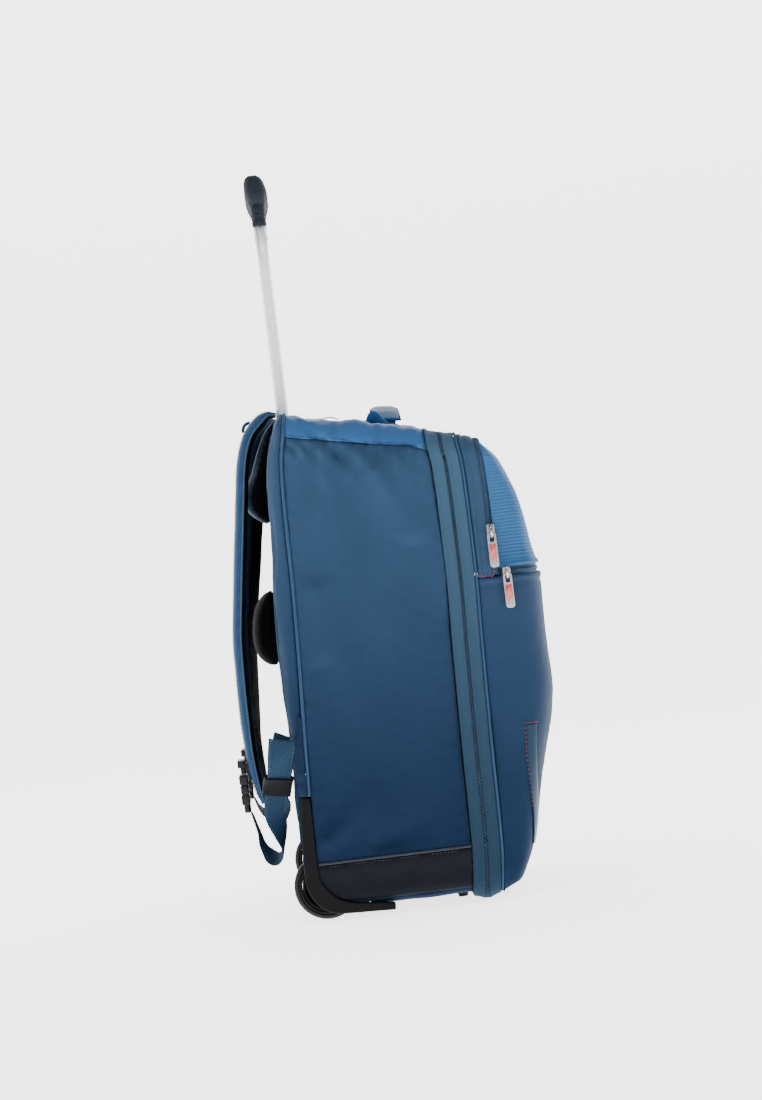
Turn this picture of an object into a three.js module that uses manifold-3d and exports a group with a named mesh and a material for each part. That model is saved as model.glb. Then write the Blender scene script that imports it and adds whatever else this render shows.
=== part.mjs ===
// A wheeled backpack that stands on its two wheels and two front feet, with its trolley handle pulled out.
// Millimetres, +Z up, +X towards the front pockets. The near side is at -Y.
import * as THREE from 'three';
import { mergeVertices } from 'three/addons/utils/BufferGeometryUtils.js';
import Module from 'manifold-3d';

const wasm = await Module();
wasm.setup();

// Bag body
const bagWidth = 340;
const bagHeight = 498; // base panel to the top of the back panel
const baseLift = 10; // floor to base panel
const tubDepth = 151; // back piping to zip band
const tapeWidth = 12.4;
const coilWidth = 3;
const pipingWidth = 2.7;
const lidBandDepth = 15;
const pocketTapeWidth = 5;
const pocketDepth = 74; // front piping to the front of the pockets
const backPadding = 19;
const seamSway = 20; // how far the upright seams wander
const topFall = 46; // drop of the top from back to pockets
const topRound = 22;
const baseRound = 14;
const sideCrown = 2;
const clothWall = 2.5;
const seamGap = 0.3;
const bandLift = 1.5; // how far the zip band stands proud
const pipingLift = 2.6;
const bandDrop = 7.5; // how far the band reaches below the base panel
const scuffHeight = 47;
const mouthHeight = 8; // opening of the lower pocket
const mouthLevel = 322;
const cornerPower = 5; // squareness of the pockets' corners

// Trolley
const tubeDepth = 13;
const tubeBreadth = 16;
const tubeWall = 1.3;
const tubeSpread = 75; // centre of the bag to a tube
const tubeX = 12;
const tubeTop = 706;
const tubeTravel = 190;
const slideClearance = 0.5;
const sleeveWall = 1.5;
const sleeveTop = 445;
const gripHeight = 36;
const gripDepth = 24;
const gripOverhang = 14;
const socketHeight = 17;
const notchClearance = 1.2;

// Wheels and feet
const wheelRadius = 33;
const tyreWidth = 20;
const tyreDepth = 8;
const axleRadius = 4;
const axleClearance = 0.4;
const wellClearance = 4;
const cheekThickness = 4;
const guardThickness = 12;
const guardTop = 125;
const guardReach = 66;
const guardHalf = 8;
const guardProud = 3;
const footInset = 14; // zip band to the middle of a front foot
const footSpread = 95;
const footRadius = 6.5;

// Harness
const strapWidth = 62;
const strapThickness = 13;
const strapReach = 64;
const strapSpread = 78;
const strapDrift = 17; // how far the straps spread towards their lower ends
const farStrapTwist = -14;
const webbingWidth = 24;
const webbingThickness = 1.8;
const webbingReach = 66;
const webbingTop = 172;
const keeperReach = 0.75;
const keeperWall = 1.6;
const keeperClearance = 0.7;
const webbingClearance = 0.6;
const buckleWidth = 34;
const buckleThickness = 9;
const buckleHeight = 54;
const buckleBottom = 112;
const yokeHalfWidth = 42;
const yokeDepth = 26;
const yokeDrop = 8; // top of the back panel to the yoke pad
const yokeHeight = 96;
const lumbarHalfWidth = 62;
const lumbarDepth = 24;
const lumbarTop = 334;
const lumbarBottom = 256;
const wingThickness = 2;
const wingReach = 10;
const wingTop = 206;
const wingBottom = 127;
const loopLength = 16;
const loopRise = 4;

// Handle and zips
const handleSpan = 180;
const handleWidth = 27;
const handleThickness = 6;
const handleX = 118;
const handleRise = 19;
const patchLength = 44;
const patchWidth = 34;
const patchThickness = 2.5;
const tabLength = 36;
const tabWidth = 9;
const tabThickness = 1.6;
const sliderLength = 13;
const sliderWidth = 8;
const sliderHeight = 4;
const upperSliderLevel = 368;
const stripTop = 171;
const stripBottom = 50;
const stripThickness = 0.8;
const trolleyZipWidth = 5;
const trolleyZipX = 50;
const trolleyZipHalf = 112;
const trimThickness = 2;
const loopWidth = 9;

// Worked out from the sizes above
const halfWidth = bagWidth / 2;
const topLevel = baseLift + bagHeight;
const bandStart = tubDepth + seamGap;
const coilStart = bandStart + tapeWidth + seamGap;
const frontTapeStart = coilStart + coilWidth + seamGap;
const frontPipingStart = frontTapeStart + tapeWidth + seamGap;
const lidStart = frontPipingStart + pipingWidth + seamGap;
const pocketTapeStart = lidStart + lidBandDepth + seamGap;
const pocketStart = pocketTapeStart + pocketTapeWidth + seamGap;
const scuffTop = baseLift + scuffHeight;
const degree = Math.PI / 180;

// Colours and finishes
const cloth = (color) => new THREE.MeshStandardMaterial({ color, roughness: 0.85, metalness: 0 });
const blueCloth = cloth(0x38587a);
const topCloth = cloth(0x466e9b);
const darkCloth = cloth(0x203c5c);
const ribbedCloth = cloth(0x366e96);
const tapeCloth = cloth(0x486880);
const blackCloth = cloth(0x1c1e22);
const greyCloth = cloth(0x4a5a6c);
const scuffCloth = cloth(0x22242a);
const blackPlastic = new THREE.MeshStandardMaterial({ color: 0x2c2e34, roughness: 0.55, metalness: 0 });
const rubber = new THREE.MeshStandardMaterial({ color: 0x1a1b1e, roughness: 0.8, metalness: 0 });
const brightMetal = new THREE.MeshStandardMaterial({ color: 0xd6dade, roughness: 0.25, metalness: 1 });

const group = new THREE.Group();

// Reads a column of a short table at a place between its rows
function readTable(rows, key, column, at) {
  if (at <= rows[0][key]) return rows[0][column];
  for (let i = 1; i < rows.length; i += 1) {
    const low = rows[i - 1];
    const high = rows[i];
    if (at <= high[key]) {
      const share = (at - low[key]) / (high[key] - low[key]);
      return low[column] + share * (high[column] - low[column]);
    }
  }
  return rows[rows.length - 1][column];
}

// A closed geometry from points and faces, turned to face out
function closedGeometry(points, faces) {
  let volume = 0;
  const cross = new THREE.Vector3();
  for (const [a, b, c] of faces) {
    cross.crossVectors(points[b], points[c]);
    volume += points[a].dot(cross);
  }
  const index = [];
  for (const [a, b, c] of faces) {
    if (volume > 0) index.push(a, b, c);
    else index.push(a, c, b);
  }
  const geometry = new THREE.BufferGeometry();
  const numbers = points.flatMap((p) => [p.x, p.y, p.z]);
  geometry.setAttribute('position', new THREE.Float32BufferAttribute(numbers, 3));
  geometry.setIndex(index);
  return geometry;
}

// A solid through closed rings of equal point counts, capped at both ends
function loft(rings) {
  const count = rings[0].length;
  const points = rings.flat();
  const faces = [];
  for (let r = 0; r + 1 < rings.length; r += 1) {
    for (let i = 0; i < count; i += 1) {
      const j = (i + 1) % count;
      const a = r * count + i;
      const b = r * count + j;
      faces.push([a, b, b + count], [a, b + count, a + count]);
    }
  }
  const last = (rings.length - 1) * count;
  for (const [start, flip] of [[0, true], [last, false]]) {
    const ring = points.slice(start, start + count);
    const centre = ring.reduce((sum, p) => sum.add(p), new THREE.Vector3()).divideScalar(count);
    const middle = points.push(centre) - 1;
    for (let i = 0; i < count; i += 1) {
      const j = start + ((i + 1) % count);
      faces.push(flip ? [middle, j, start + i] : [middle, start + i, j]);
    }
  }
  return closedGeometry(points, faces);
}

// A wall between an outer and an inner surface, each given over the same two lists of places
function wall(surface, alongs, arounds, closed = false) {
  const points = [];
  const faces = [];
  const rows = alongs.length;
  const columns = arounds.length;
  for (const layer of [0, 1]) {
    for (const along of alongs) {
      for (const around of arounds) points.push(surface(along, around, layer));
    }
  }
  const at = (layer, i, j) => layer * rows * columns + i * columns + (j % columns);
  const steps = closed ? columns : columns - 1;
  for (let i = 0; i + 1 < rows; i += 1) {
    for (let j = 0; j < steps; j += 1) {
      faces.push([at(0, i, j), at(0, i + 1, j), at(0, i + 1, j + 1)]);
      faces.push([at(0, i, j), at(0, i + 1, j + 1), at(0, i, j + 1)]);
      faces.push([at(1, i, j), at(1, i + 1, j + 1), at(1, i + 1, j)]);
      faces.push([at(1, i, j), at(1, i, j + 1), at(1, i + 1, j + 1)]);
    }
  }
  for (let j = 0; j < steps; j += 1) {
    for (const [i, flip] of [[0, false], [rows - 1, true]]) {
      const quad = [at(0, i, j), at(0, i, j + 1), at(1, i, j + 1), at(1, i, j)];
      if (flip) quad.reverse();
      faces.push([quad[0], quad[1], quad[2]], [quad[0], quad[2], quad[3]]);
    }
  }
  if (!closed) {
    for (let i = 0; i + 1 < rows; i += 1) {
      for (const [j, flip] of [[0, true], [columns - 1, false]]) {
        const quad = [at(0, i, j), at(0, i + 1, j), at(1, i + 1, j), at(1, i, j)];
        if (flip) quad.reverse();
        faces.push([quad[0], quad[1], quad[2]], [quad[0], quad[2], quad[3]]);
      }
    }
  }
  return closedGeometry(points, faces);
}

// Joins and cuts
function solidOf(geometry) {
  const bare = geometry.clone();
  bare.deleteAttribute('normal');
  bare.deleteAttribute('uv');
  const merged = mergeVertices(bare, 1e-4);
  const vertProperties = new Float32Array(merged.attributes.position.array);
  const triVerts = new Uint32Array(merged.index.array);
  return new wasm.Manifold(new wasm.Mesh({ numProp: 3, vertProperties, triVerts }));
}

function geometryOf(solid) {
  const result = solid.getMesh();
  const geometry = new THREE.BufferGeometry();
  geometry.setAttribute('position', new THREE.BufferAttribute(new Float32Array(result.vertProperties), 3));
  geometry.setIndex(Array.from(result.triVerts));
  return geometry;
}

function cut(geometry, ...tools) {
  let solid = solidOf(geometry);
  for (const tool of tools) solid = solid.subtract(solidOf(tool));
  return geometryOf(solid);
}

function join(first, ...others) {
  let solid = solidOf(first);
  for (const other of others) solid = solid.add(solidOf(other));
  return geometryOf(solid);
}

function keepInside(geometry, tool) {
  return geometryOf(solidOf(geometry).intersect(solidOf(tool)));
}

// A block between two corners
function block(low, high) {
  const size = new THREE.Vector3().subVectors(high, low);
  const geometry = new THREE.BoxGeometry(size.x, size.y, size.z);
  const middle = new THREE.Vector3().addVectors(low, high).multiplyScalar(0.5);
  return geometry.translate(middle.x, middle.y, middle.z);
}

// An outline in X and Z, extruded along Y between two places
function slab(outline, fromY, toY) {
  const shape = new THREE.Shape(outline.map(([x, z]) => new THREE.Vector2(x, z)));
  const geometry = new THREE.ExtrudeGeometry(shape, { depth: toY - fromY, bevelEnabled: false });
  geometry.rotateX(Math.PI / 2);
  return geometry.translate(0, toY, 0);
}

function addMesh(name, geometry, material, parent = group) {
  const mesh = new THREE.Mesh(geometry, material);
  mesh.name = name;
  parent.add(mesh);
  return mesh;
}

// Mirrors a geometry to the far side
function mirrored(geometry) {
  const copy = geometry.clone();
  copy.scale(1, -1, 1);
  const index = copy.index ? Array.from(copy.index.array) : [...Array(copy.attributes.position.count).keys()];
  for (let i = 0; i < index.length; i += 3) [index[i + 1], index[i + 2]] = [index[i + 2], index[i + 1]];
  copy.setIndex(index);
  return copy;
}

function addPair(name, geometry, material) {
  addMesh(`${name}_near`, geometry, material);
  addMesh(`${name}_far`, mirrored(geometry), material);
}

// Seams: up is a share of the bag's height, the others are shares of the seams' sway
const seamRows = [
  { up: 0.0, pipe: -0.4, band: -0.33 },
  { up: 0.1, pipe: -0.37, band: -0.13 },
  { up: 0.3, pipe: -0.22, band: -0.04 },
  { up: 0.5, pipe: 0.02, band: 0.09 },
  { up: 0.66, pipe: 0.16, band: 0.21 },
  { up: 0.78, pipe: 0.2, band: 0.2 },
  { up: 0.86, pipe: 0.25, band: 0.15 },
  { up: 0.91, pipe: 0.34, band: 0.0 },
  { up: 0.96, pipe: 0.58, band: -0.03 },
  { up: 1.0, pipe: 0.75, band: -0.05 },
];

// Top of the bag: along is a share of the depth to the pockets, fall a share of the top's drop
const shellDepth = pocketStart;
const topRows = [
  { along: 0.0, fall: 0.0 },
  { along: 0.05, fall: 0.055 },
  { along: 0.25, fall: 0.21 },
  { along: 0.5, fall: 0.41 },
  { along: 0.64, fall: 0.52 },
  { along: 0.72, fall: 0.62 },
  { along: 0.77, fall: 0.73 },
  { along: 0.83, fall: 0.81 },
  { along: 0.92, fall: 0.88 },
  { along: 0.97, fall: 0.95 },
  { along: 1.0, fall: 1.0 },
];

function swayAt(along, z) {
  const up = (z - baseLift) / bagHeight;
  const pipe = readTable(seamRows, 'up', 'pipe', up);
  const band = readTable(seamRows, 'up', 'band', up);
  const share = Math.min(1, Math.max(0, along / tubDepth));
  return seamSway * (pipe + share * (band - pipe));
}

function topAt(along) {
  return topLevel - topFall * readTable(topRows, 'along', 'fall', along / shellDepth);
}

// Half the bag's width at a height, rounded at its top and base
function halfAt(z, top, low) {
  const above = Math.min(topRound, Math.max(0, z - (top - topRound)));
  const below = Math.min(baseRound, Math.max(0, low + baseRound - z));
  const topLoss = topRound - Math.sqrt(topRound ** 2 - above ** 2);
  const baseLoss = baseRound - Math.sqrt(baseRound ** 2 - below ** 2);
  const middle = (z - low) / (top - low);
  return halfWidth - topLoss - baseLoss + sideCrown * Math.sin(Math.PI * Math.min(1, Math.max(0, middle)));
}

// Stations round half the bag: 0 middle of the base, 1 to 2 lower corner, 3 top of the scuff panel,
// 4 to 5 upper corner, 6 middle of the top. Near side stations are negative.
const stationScuff = 3;
const stationTopSeam = 4;
const stationTopMiddle = 6;

function ringPoint(along, station, lift, low = baseLift) {
  const side = station < 0 ? -1 : 1;
  const a = Math.abs(station);
  const top = topAt(along);
  const inTop = halfWidth - topRound;
  const inBase = halfWidth - baseRound;
  let y;
  let z;
  if (a <= 1) {
    y = a * inBase;
    z = low - lift;
  } else if (a <= 2) {
    const turn = (a - 1) * 90 * degree;
    y = inBase + (baseRound + lift) * Math.sin(turn);
    z = low + baseRound - (baseRound + lift) * Math.cos(turn);
  } else if (a <= stationTopSeam) {
    const start = low + baseRound;
    const end = top - topRound;
    z = a <= stationScuff ? start + (a - 2) * (scuffTop - start) : scuffTop + (a - stationScuff) * (end - scuffTop);
    y = halfWidth + lift + sideCrown * Math.sin((Math.PI * (z - start)) / (end - start));
  } else if (a <= 5) {
    const turn = (a - stationTopSeam) * 90 * degree;
    y = inTop + (topRound + lift) * Math.cos(turn);
    z = top - topRound + (topRound + lift) * Math.sin(turn);
  } else {
    y = (stationTopMiddle - a) * inTop;
    z = top + lift;
  }
  return new THREE.Vector3(along + swayAt(along, z), side * y, z);
}

// Station of a height on the upper side
function stationAt(z, along) {
  return stationScuff + (z - scuffTop) / (topAt(along) - topRound - scuffTop);
}

const spread = (from, to, steps) => Array.from({ length: steps + 1 }, (_, i) => from + ((to - from) * i) / steps);

const sideLength = topLevel - topRound - scuffTop;
const arcLength = (topRound * Math.PI) / 2;
const sideGap = seamGap / sideLength;
const arcGap = seamGap / arcLength;
const baseSeam = 1.6;

function bagWall(alongs, stations, { lift = 0, low = baseLift, depth = clothWall, closed = false } = {}) {
  const surface = (along, station, layer) => ringPoint(along, station, layer === 0 ? lift : -depth, low);
  return wall(surface, alongs, stations, closed);
}

const tubAlongs = [seamGap, 0.05, 0.15, 0.25, 0.5, 0.64, 0.72].map((s, i) => (i === 0 ? s : s * shellDepth));
tubAlongs.push(tubDepth);

const upperArc = spread(stationTopSeam, 5, 4);
const lowerArc = spread(1, 2, 4);
const sideGrid = spread(stationScuff, stationTopSeam, 8);
const sideFrom = (station) => [station, ...sideGrid.filter((s) => s > station + sideGap)];
const fullRing = [0, ...lowerArc.slice(0, -1), 2, ...sideGrid.slice(0, -1)];
fullRing.push(...upperArc, 5.5);
const closedRing = [...fullRing, stationTopMiddle, ...fullRing.slice(1).reverse().map((s) => -s)];

// Guard's centre line: across is a share of its reach, up of its top, half of its half thickness
const guardRows = [
  { across: -0.17, up: 1.0, half: 0.56 },
  { across: -0.19, up: 0.76, half: 0.75 },
  { across: -0.21, up: 0.5, half: 0.85 },
  { across: -0.205, up: 0.34, half: 0.92 },
  { across: -0.13, up: 0.23, half: 1.08 },
  { across: 0.0, up: 0.148, half: 1.1 },
  { across: 0.16, up: 0.104, half: 0.9 },
  { across: 0.38, up: 0.081, half: 0.66 },
  { across: 0.68, up: 0.068, half: 0.55 },
  { across: 1.0, up: 0.054, half: 0.45 },
];

function guardOutline(extra) {
  const centres = guardRows.map((row) => new THREE.Vector2(row.across * guardReach, row.up * guardTop));
  const inner = [];
  const outer = [];
  centres.forEach((centre, i) => {
    const before = centres[Math.max(0, i - 1)];
    const after = centres[Math.min(centres.length - 1, i + 1)];
    const direction = after.clone().sub(before).normalize();
    const side = new THREE.Vector2(-direction.y, direction.x);
    const half = guardRows[i].half * guardHalf + extra;
    const end = i === 0 ? -extra : i === centres.length - 1 ? extra : 0;
    const place = centre.clone().addScaledVector(direction, end);
    inner.push(place.clone().addScaledVector(side, half));
    outer.push(place.clone().addScaledVector(side, -half));
  });
  return [...inner, ...outer.reverse()].map((p) => [p.x, p.y]);
}

// Places of the wheel well, counted inwards from the near side
const guardOuterY = -halfWidth - guardProud;
const cheekY = guardOuterY + guardThickness;
const wheelY = cheekY + wellClearance + tyreWidth / 2;
const innerCheekY = wheelY + tyreWidth / 2 + wellClearance;
const wellEndY = innerCheekY + cheekThickness;
const wellRadius = wheelRadius + wellClearance;
const wellWall = 3;
const wellOuter = wellRadius + wellWall;
const armLevel = wheelRadius + wellRadius;

const guardTool = slab(guardOutline(seamGap), guardOuterY - 1, cheekY + seamGap);
const armTool = keepInside(
  slab(guardOutline(seamGap), guardOuterY - 1, wellEndY + seamGap),
  block(new THREE.Vector3(-guardReach, -bagWidth, armLevel - seamGap), new THREE.Vector3(guardReach, 0, bagHeight)),
);
const wellTool = block(
  new THREE.Vector3(-bagWidth, cheekY - cheekThickness - seamGap, -bagHeight),
  new THREE.Vector3(wellOuter + seamGap, wellEndY + seamGap, wheelRadius + wellOuter + seamGap),
);
const baseTool = block(
  new THREE.Vector3(-bagWidth, -bagWidth, -bagHeight),
  new THREE.Vector3(wellOuter + seamGap, wellEndY + seamGap, wheelRadius),
);
const cornerTools = [guardTool, armTool, wellTool];
const bothSides = (tools) => tools.flatMap((tool) => [tool, mirrored(tool)]);

// Room for the trolley tubes in the top rear edge
const notchLow = new THREE.Vector3(tubeX - tubeDepth / 2 - notchClearance, -tubeSpread - tubeBreadth / 2 - notchClearance, 0);
const notchHigh = new THREE.Vector3(tubeX + tubeDepth / 2 + notchClearance, notchLow.y + tubeBreadth + 2 * notchClearance, tubeTop);
const tubeNotch = block(notchLow, notchHigh);

// Bag panels
function addPanels() {
  const sideStations = sideFrom(stationScuff + sideGap).map((s) => -s);
  const side = bagWall(tubAlongs, sideStations);
  addPair('side_panel', cut(side, guardTool), blueCloth);

  const topStations = [...upperArc, 5.5].map((s, i) => (i === 0 ? s + arcGap : s));
  const across = [...topStations.map((s) => -s), stationTopMiddle, ...topStations.slice().reverse()];
  const top = bagWall(tubAlongs, across);
  addMesh('top_panel', cut(top, tubeNotch, mirrored(tubeNotch)), topCloth);

  const scuffStations = [baseSeam, 1.8, 2, stationScuff].map((s) => -s);
  const scuff = bagWall(tubAlongs, scuffStations);
  addPair('scuff_panel', cut(scuff, guardTool), scuffCloth);

  const baseStations = [baseSeam - 0.02, 1.3, 1, 0.5];
  const under = [...baseStations.map((s) => -s), 0, ...baseStations.slice().reverse()];
  const base = bagWall([seamGap, tubDepth / 2, tubDepth], under);
  addMesh('base_panel', cut(base, ...bothSides([baseTool, guardTool])), blueCloth);
}

// The zip band all round the bag
function addBand() {
  const bandLow = baseLift - bandDrop + bandLift;
  const parts = [
    ['zip_tape_rear', bandStart, tapeWidth, bandLift, tapeCloth],
    ['zip_coil', coilStart, coilWidth, bandLift / 2, blackCloth],
    ['zip_tape_front', frontTapeStart, tapeWidth, bandLift, tapeCloth],
    ['piping_front', frontPipingStart, pipingWidth, pipingLift, blueCloth],
  ];
  for (const [name, start, width, lift, material] of parts) {
    const ring = bagWall([start, start + width], closedRing, { lift, low: bandLow, closed: true });
    addMesh(name, ring, material);
  }
  const pipingTop = 5 + (halfWidth - topRound - tubeSpread - tubeBreadth) / (halfWidth - topRound);
  const stations = [...sideFrom(stationAt(guardTop + seamGap * 2, 0)), ...upperArc.slice(1), pipingTop];
  const alongs = [-pipingWidth, 0];
  const rear = bagWall(alongs, stations.map((s) => -s), { lift: pipingLift / 2 });
  addPair('piping_rear', rear, blueCloth);
}

// Front of the pockets at each height: up is a share of the bag's height, out of the pockets' depth
const upperRows = [
  { up: 0.634, out: 0.95 },
  { up: 0.674, out: 0.895 },
  { up: 0.73, out: 0.84 },
  { up: 0.785, out: 0.77 },
  { up: 0.815, out: 0.69 },
  { up: 0.842, out: 0.61 },
  { up: 0.868, out: 0.53 },
  { up: 0.887, out: 0.44 },
  { up: 0.9, out: 0.36 },
  { up: 0.905, out: 0.29 },
];
const lowerRows = [
  { up: -0.004, out: 0.02 },
  { up: 0.006, out: 0.19 },
  { up: 0.014, out: 0.32 },
  { up: 0.034, out: 0.4 },
  { up: 0.065, out: 0.49 },
  { up: 0.11, out: 0.57 },
  { up: 0.19, out: 0.69 },
  { up: 0.27, out: 0.83 },
  { up: 0.35, out: 0.955 },
  { up: 0.41, out: 1.0 },
  { up: 0.5, out: 0.985 },
  { up: 0.58, out: 0.97 },
  { up: 0.627, out: 0.96 },
];

const pocketLow = baseLift - bandDrop / 2;
const pocketOverlap = 1; // how far a hollow runs past an open end

// A point of a pocket's outer surface at a height, turned from the near side (0) to the far side (180)
function pocketPoint(rows, start, top, z, turn, shrink, wallAbove = 0) {
  const reach = (level) => {
    const out = readTable(rows, 'up', 'out', (level - baseLift) / bagHeight);
    return frontPipingStart + pocketDepth * out - start - shrink;
  };
  const depth = Math.min(reach(z), reach(z + wallAbove) + wallAbove, reach(z - wallAbove) + wallAbove);
  const half = halfAt(z, top, pocketLow) - shrink;
  const c = Math.cos(turn * degree);
  const s = Math.max(0, Math.sin(turn * degree));
  const y = -half * Math.sign(c) * Math.abs(c) ** (2 / cornerPower);
  const x = start + swayAt(start, z) + Math.max(seamGap, depth) * s ** (2 / cornerPower);
  return new THREE.Vector3(x, y, z);
}

// A pocket: level D-shaped sections in front of a start line, hollow and open to the bag
function pocket(rows, start, top, levels, inset, [openBelow, openAbove]) {
  const turns = spread(0, 180, 12);
  const outer = loft(levels.map((z) => turns.map((turn) => pocketPoint(rows, start, top, z, turn, inset))));
  const shrink = inset + clothWall;
  const hollowLevels = levels.slice();
  hollowLevels[0] += openBelow ? -pocketOverlap : clothWall;
  hollowLevels[levels.length - 1] += openAbove ? pocketOverlap : -clothWall;
  hollowLevels.sort((a, b) => a - b);
  const inner = loft(hollowLevels.map((z) => {
    const ring = turns.map((turn) => pocketPoint(rows, start, top, z, turn, shrink, clothWall));
    for (const end of [ring[ring.length - 1], ring[0]]) ring.push(end.clone().setX(end.x - clothWall));
    return ring;
  }));
  return cut(outer, inner);
}

function addPockets() {
  const levelOf = (row) => baseLift + row.up * bagHeight;
  const top = topAt(pocketStart);
  const upperLevels = [mouthLevel + mouthHeight + seamGap, ...upperRows.slice(1, -1).map(levelOf), top - seamGap];
  addMesh('upper_pocket', pocket(upperRows, pocketStart, top, upperLevels, 0, [true, false]), ribbedCloth);
  const lowerLevels = [...lowerRows.slice(0, -1).map(levelOf), mouthLevel - seamGap];
  addMesh('lower_pocket', pocket(lowerRows, lidStart, topLevel, lowerLevels, 0, [false, true]), darkCloth);
  const mouthLevels = [mouthLevel, mouthLevel + mouthHeight];
  const mouth = pocket(lowerRows, pocketStart, topLevel, mouthLevels, clothWall + 1, [true, true]);
  addMesh('lower_pocket_zip', mouth, tapeCloth);

  const belowMouth = block(new THREE.Vector3(0, -bagWidth, 0), new THREE.Vector3(bagWidth, bagWidth, mouthLevel));
  const arch = (from, to, lift) => {
    const half = [...sideFrom(stationAt(mouthLevel - mouthHeight, from)), ...upperArc.slice(1), 5.5];
    const stations = [...half.map((s) => -s), stationTopMiddle, ...half.slice().reverse()];
    return cut(bagWall([from, (from + to) / 2, to], stations, { lift }), belowMouth);
  };
  addMesh('lid_band', arch(lidStart, lidStart + lidBandDepth, 0), darkCloth);
  addMesh('upper_pocket_zip', arch(pocketTapeStart, pocketTapeStart + pocketTapeWidth, -0.8), greyCloth);
}

// Grey strips on the pocket's corners: up is a share of the strip's height, from and to are turns
const stripRows = [
  { up: 0.0, from: 40, to: 62 },
  { up: 0.25, from: 30, to: 49 },
  { up: 0.5, from: 21, to: 38 },
  { up: 0.75, from: 15, to: 30 },
  { up: 1.0, from: 12, to: 24 },
];

function addStrips() {
  const surface = (up, share, layer) => {
    const from = readTable(stripRows, 'up', 'from', up);
    const to = readTable(stripRows, 'up', 'to', up);
    const z = stripBottom + up * (stripTop - stripBottom);
    const shrink = layer === 0 ? -2 * seamGap - stripThickness : -2 * seamGap;
    return pocketPoint(lowerRows, lidStart, topLevel, z, from + share * (to - from), shrink);
  };
  addPair('reflective_strip', wall(surface, spread(0, 1, 6), spread(0, 1, 3)), greyCloth);
}

// Padding of the back panel: up is a share of the bag's height, pad a share of the padding
const backRows = [
  { up: 0.004, pad: 0.3 },
  { up: 0.04, pad: 0.5 },
  { up: 0.24, pad: 0.56 },
  { up: 0.36, pad: 0.66 },
  { up: 0.45, pad: 0.86 },
  { up: 0.55, pad: 1.0 },
  { up: 0.65, pad: 0.95 },
  { up: 0.72, pad: 0.74 },
  { up: 0.82, pad: 0.68 },
  { up: 0.9, pad: 0.6 },
  { up: 0.96, pad: 0.5 },
  { up: 0.985, pad: 0.38 },
  { up: 0.998, pad: 0.2 },
];

const backFace = -pipingWidth - 2 * seamGap;

function backAt(z) {
  const up = (z - baseLift) / bagHeight;
  return backFace + swayAt(0, z) - backPadding * readTable(backRows, 'up', 'pad', up);
}

function addBack() {
  const rings = backRows.map((row) => {
    const z = baseLift + row.up * bagHeight;
    const half = halfAt(z, topLevel, baseLift) - 1;
    const x = backFace + swayAt(0, z);
    return spread(0, 180, 14).map((turn) => {
      const c = Math.cos(turn * degree);
      const s = Math.max(0, Math.sin(turn * degree));
      const y = -half * Math.sign(c) * Math.abs(c) ** (2 / cornerPower);
      return new THREE.Vector3(x - backPadding * row.pad * s ** (2 / cornerPower), y, z);
    });
  });
  const panel = cut(loft(rings), ...bothSides([...cornerTools, tubeNotch]));
  addMesh('back_panel', panel, blackCloth);
}

// Wheel housing: corner guard, cheeks, well arch and axle in one moulding
function wheelHousing() {
  const guard = slab(guardOutline(0), guardOuterY, cheekY);
  const arm = keepInside(
    slab(guardOutline(0), guardOuterY, wellEndY),
    block(new THREE.Vector3(-guardReach, -bagWidth, armLevel), new THREE.Vector3(guardReach, 0, bagHeight)),
  );
  const fromAngle = -8;
  const toAngle = 118;
  const arcPoints = (radius) => spread(fromAngle, toAngle, 10).map((a) => {
    return [radius * Math.cos(a * degree), wheelRadius + radius * Math.sin(a * degree)];
  });
  const archOutline = [...arcPoints(wellRadius), ...arcPoints(wellOuter).reverse()];
  const arch = slab(archOutline, cheekY - cheekThickness, wellEndY);
  const cheekOutline = [...arcPoints(wellOuter), [-axleRadius * 2, wheelRadius - axleRadius * 2]];
  const outerCheek = slab(cheekOutline, cheekY - cheekThickness, cheekY);
  const innerCheek = slab(cheekOutline, innerCheekY, wellEndY);
  const axle = new THREE.CylinderGeometry(axleRadius, axleRadius, wellEndY - cheekY + cheekThickness, 16);
  axle.translate(0, (wellEndY + cheekY - cheekThickness) / 2, wheelRadius);
  return join(guard, arm, arch, outerCheek, innerCheek, axle);
}

// A ring turned round the wheel's axis, from a closed profile of radius and place across
function turned(profile, segments) {
  const points = profile.map(([r, y]) => new THREE.Vector2(r, y));
  if (THREE.ShapeUtils.area(points) < 0) points.reverse();
  return new THREE.LatheGeometry([...points, points[0]], segments);
}

function addWheels() {
  addPair('wheel_housing', wheelHousing(), blackPlastic);
  const half = tyreWidth / 2;
  const rim = wheelRadius - tyreDepth;
  const shoulder = 3;
  const tyre = [[rim, -half], [rim, half], [wheelRadius - shoulder, half], [wheelRadius, half - shoulder]];
  tyre.push([wheelRadius, -half + shoulder], [wheelRadius - shoulder, -half]);
  const bore = axleRadius + axleClearance;
  const web = half * 0.45;
  const bossRadius = axleRadius * 2.2;
  const hub = [[bore, -half - 1], [bossRadius, -half - 1], [bossRadius, -web], [rim - 4, -web], [rim - 4, -half]];
  hub.push([rim - seamGap, -half], [rim - seamGap, half], [rim - 4, half], [rim - 4, web]);
  hub.push([bossRadius, web], [bossRadius, half + 1], [bore, half + 1]);
  for (const [end, side] of [['near', 1], ['far', -1]]) {
    const place = new THREE.Group();
    place.position.set(0, side * wheelY, wheelRadius);
    addMesh(`tyre_${end}`, turned(tyre, 24), rubber, place);
    addMesh(`hub_${end}`, turned(hub, 16), blackPlastic, place);
    group.add(place);
  }
}

function addFeet() {
  const height = baseLift - seamGap;
  for (const [end, side] of [['near', -1], ['far', 1]]) {
    const foot = new THREE.CylinderGeometry(footRadius, footRadius * 0.75, height, 16);
    foot.rotateX(Math.PI / 2);
    const mesh = addMesh(`foot_${end}`, foot, blackPlastic);
    mesh.position.set(tubDepth - footInset, side * footSpread, height / 2);
  }
}

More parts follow.
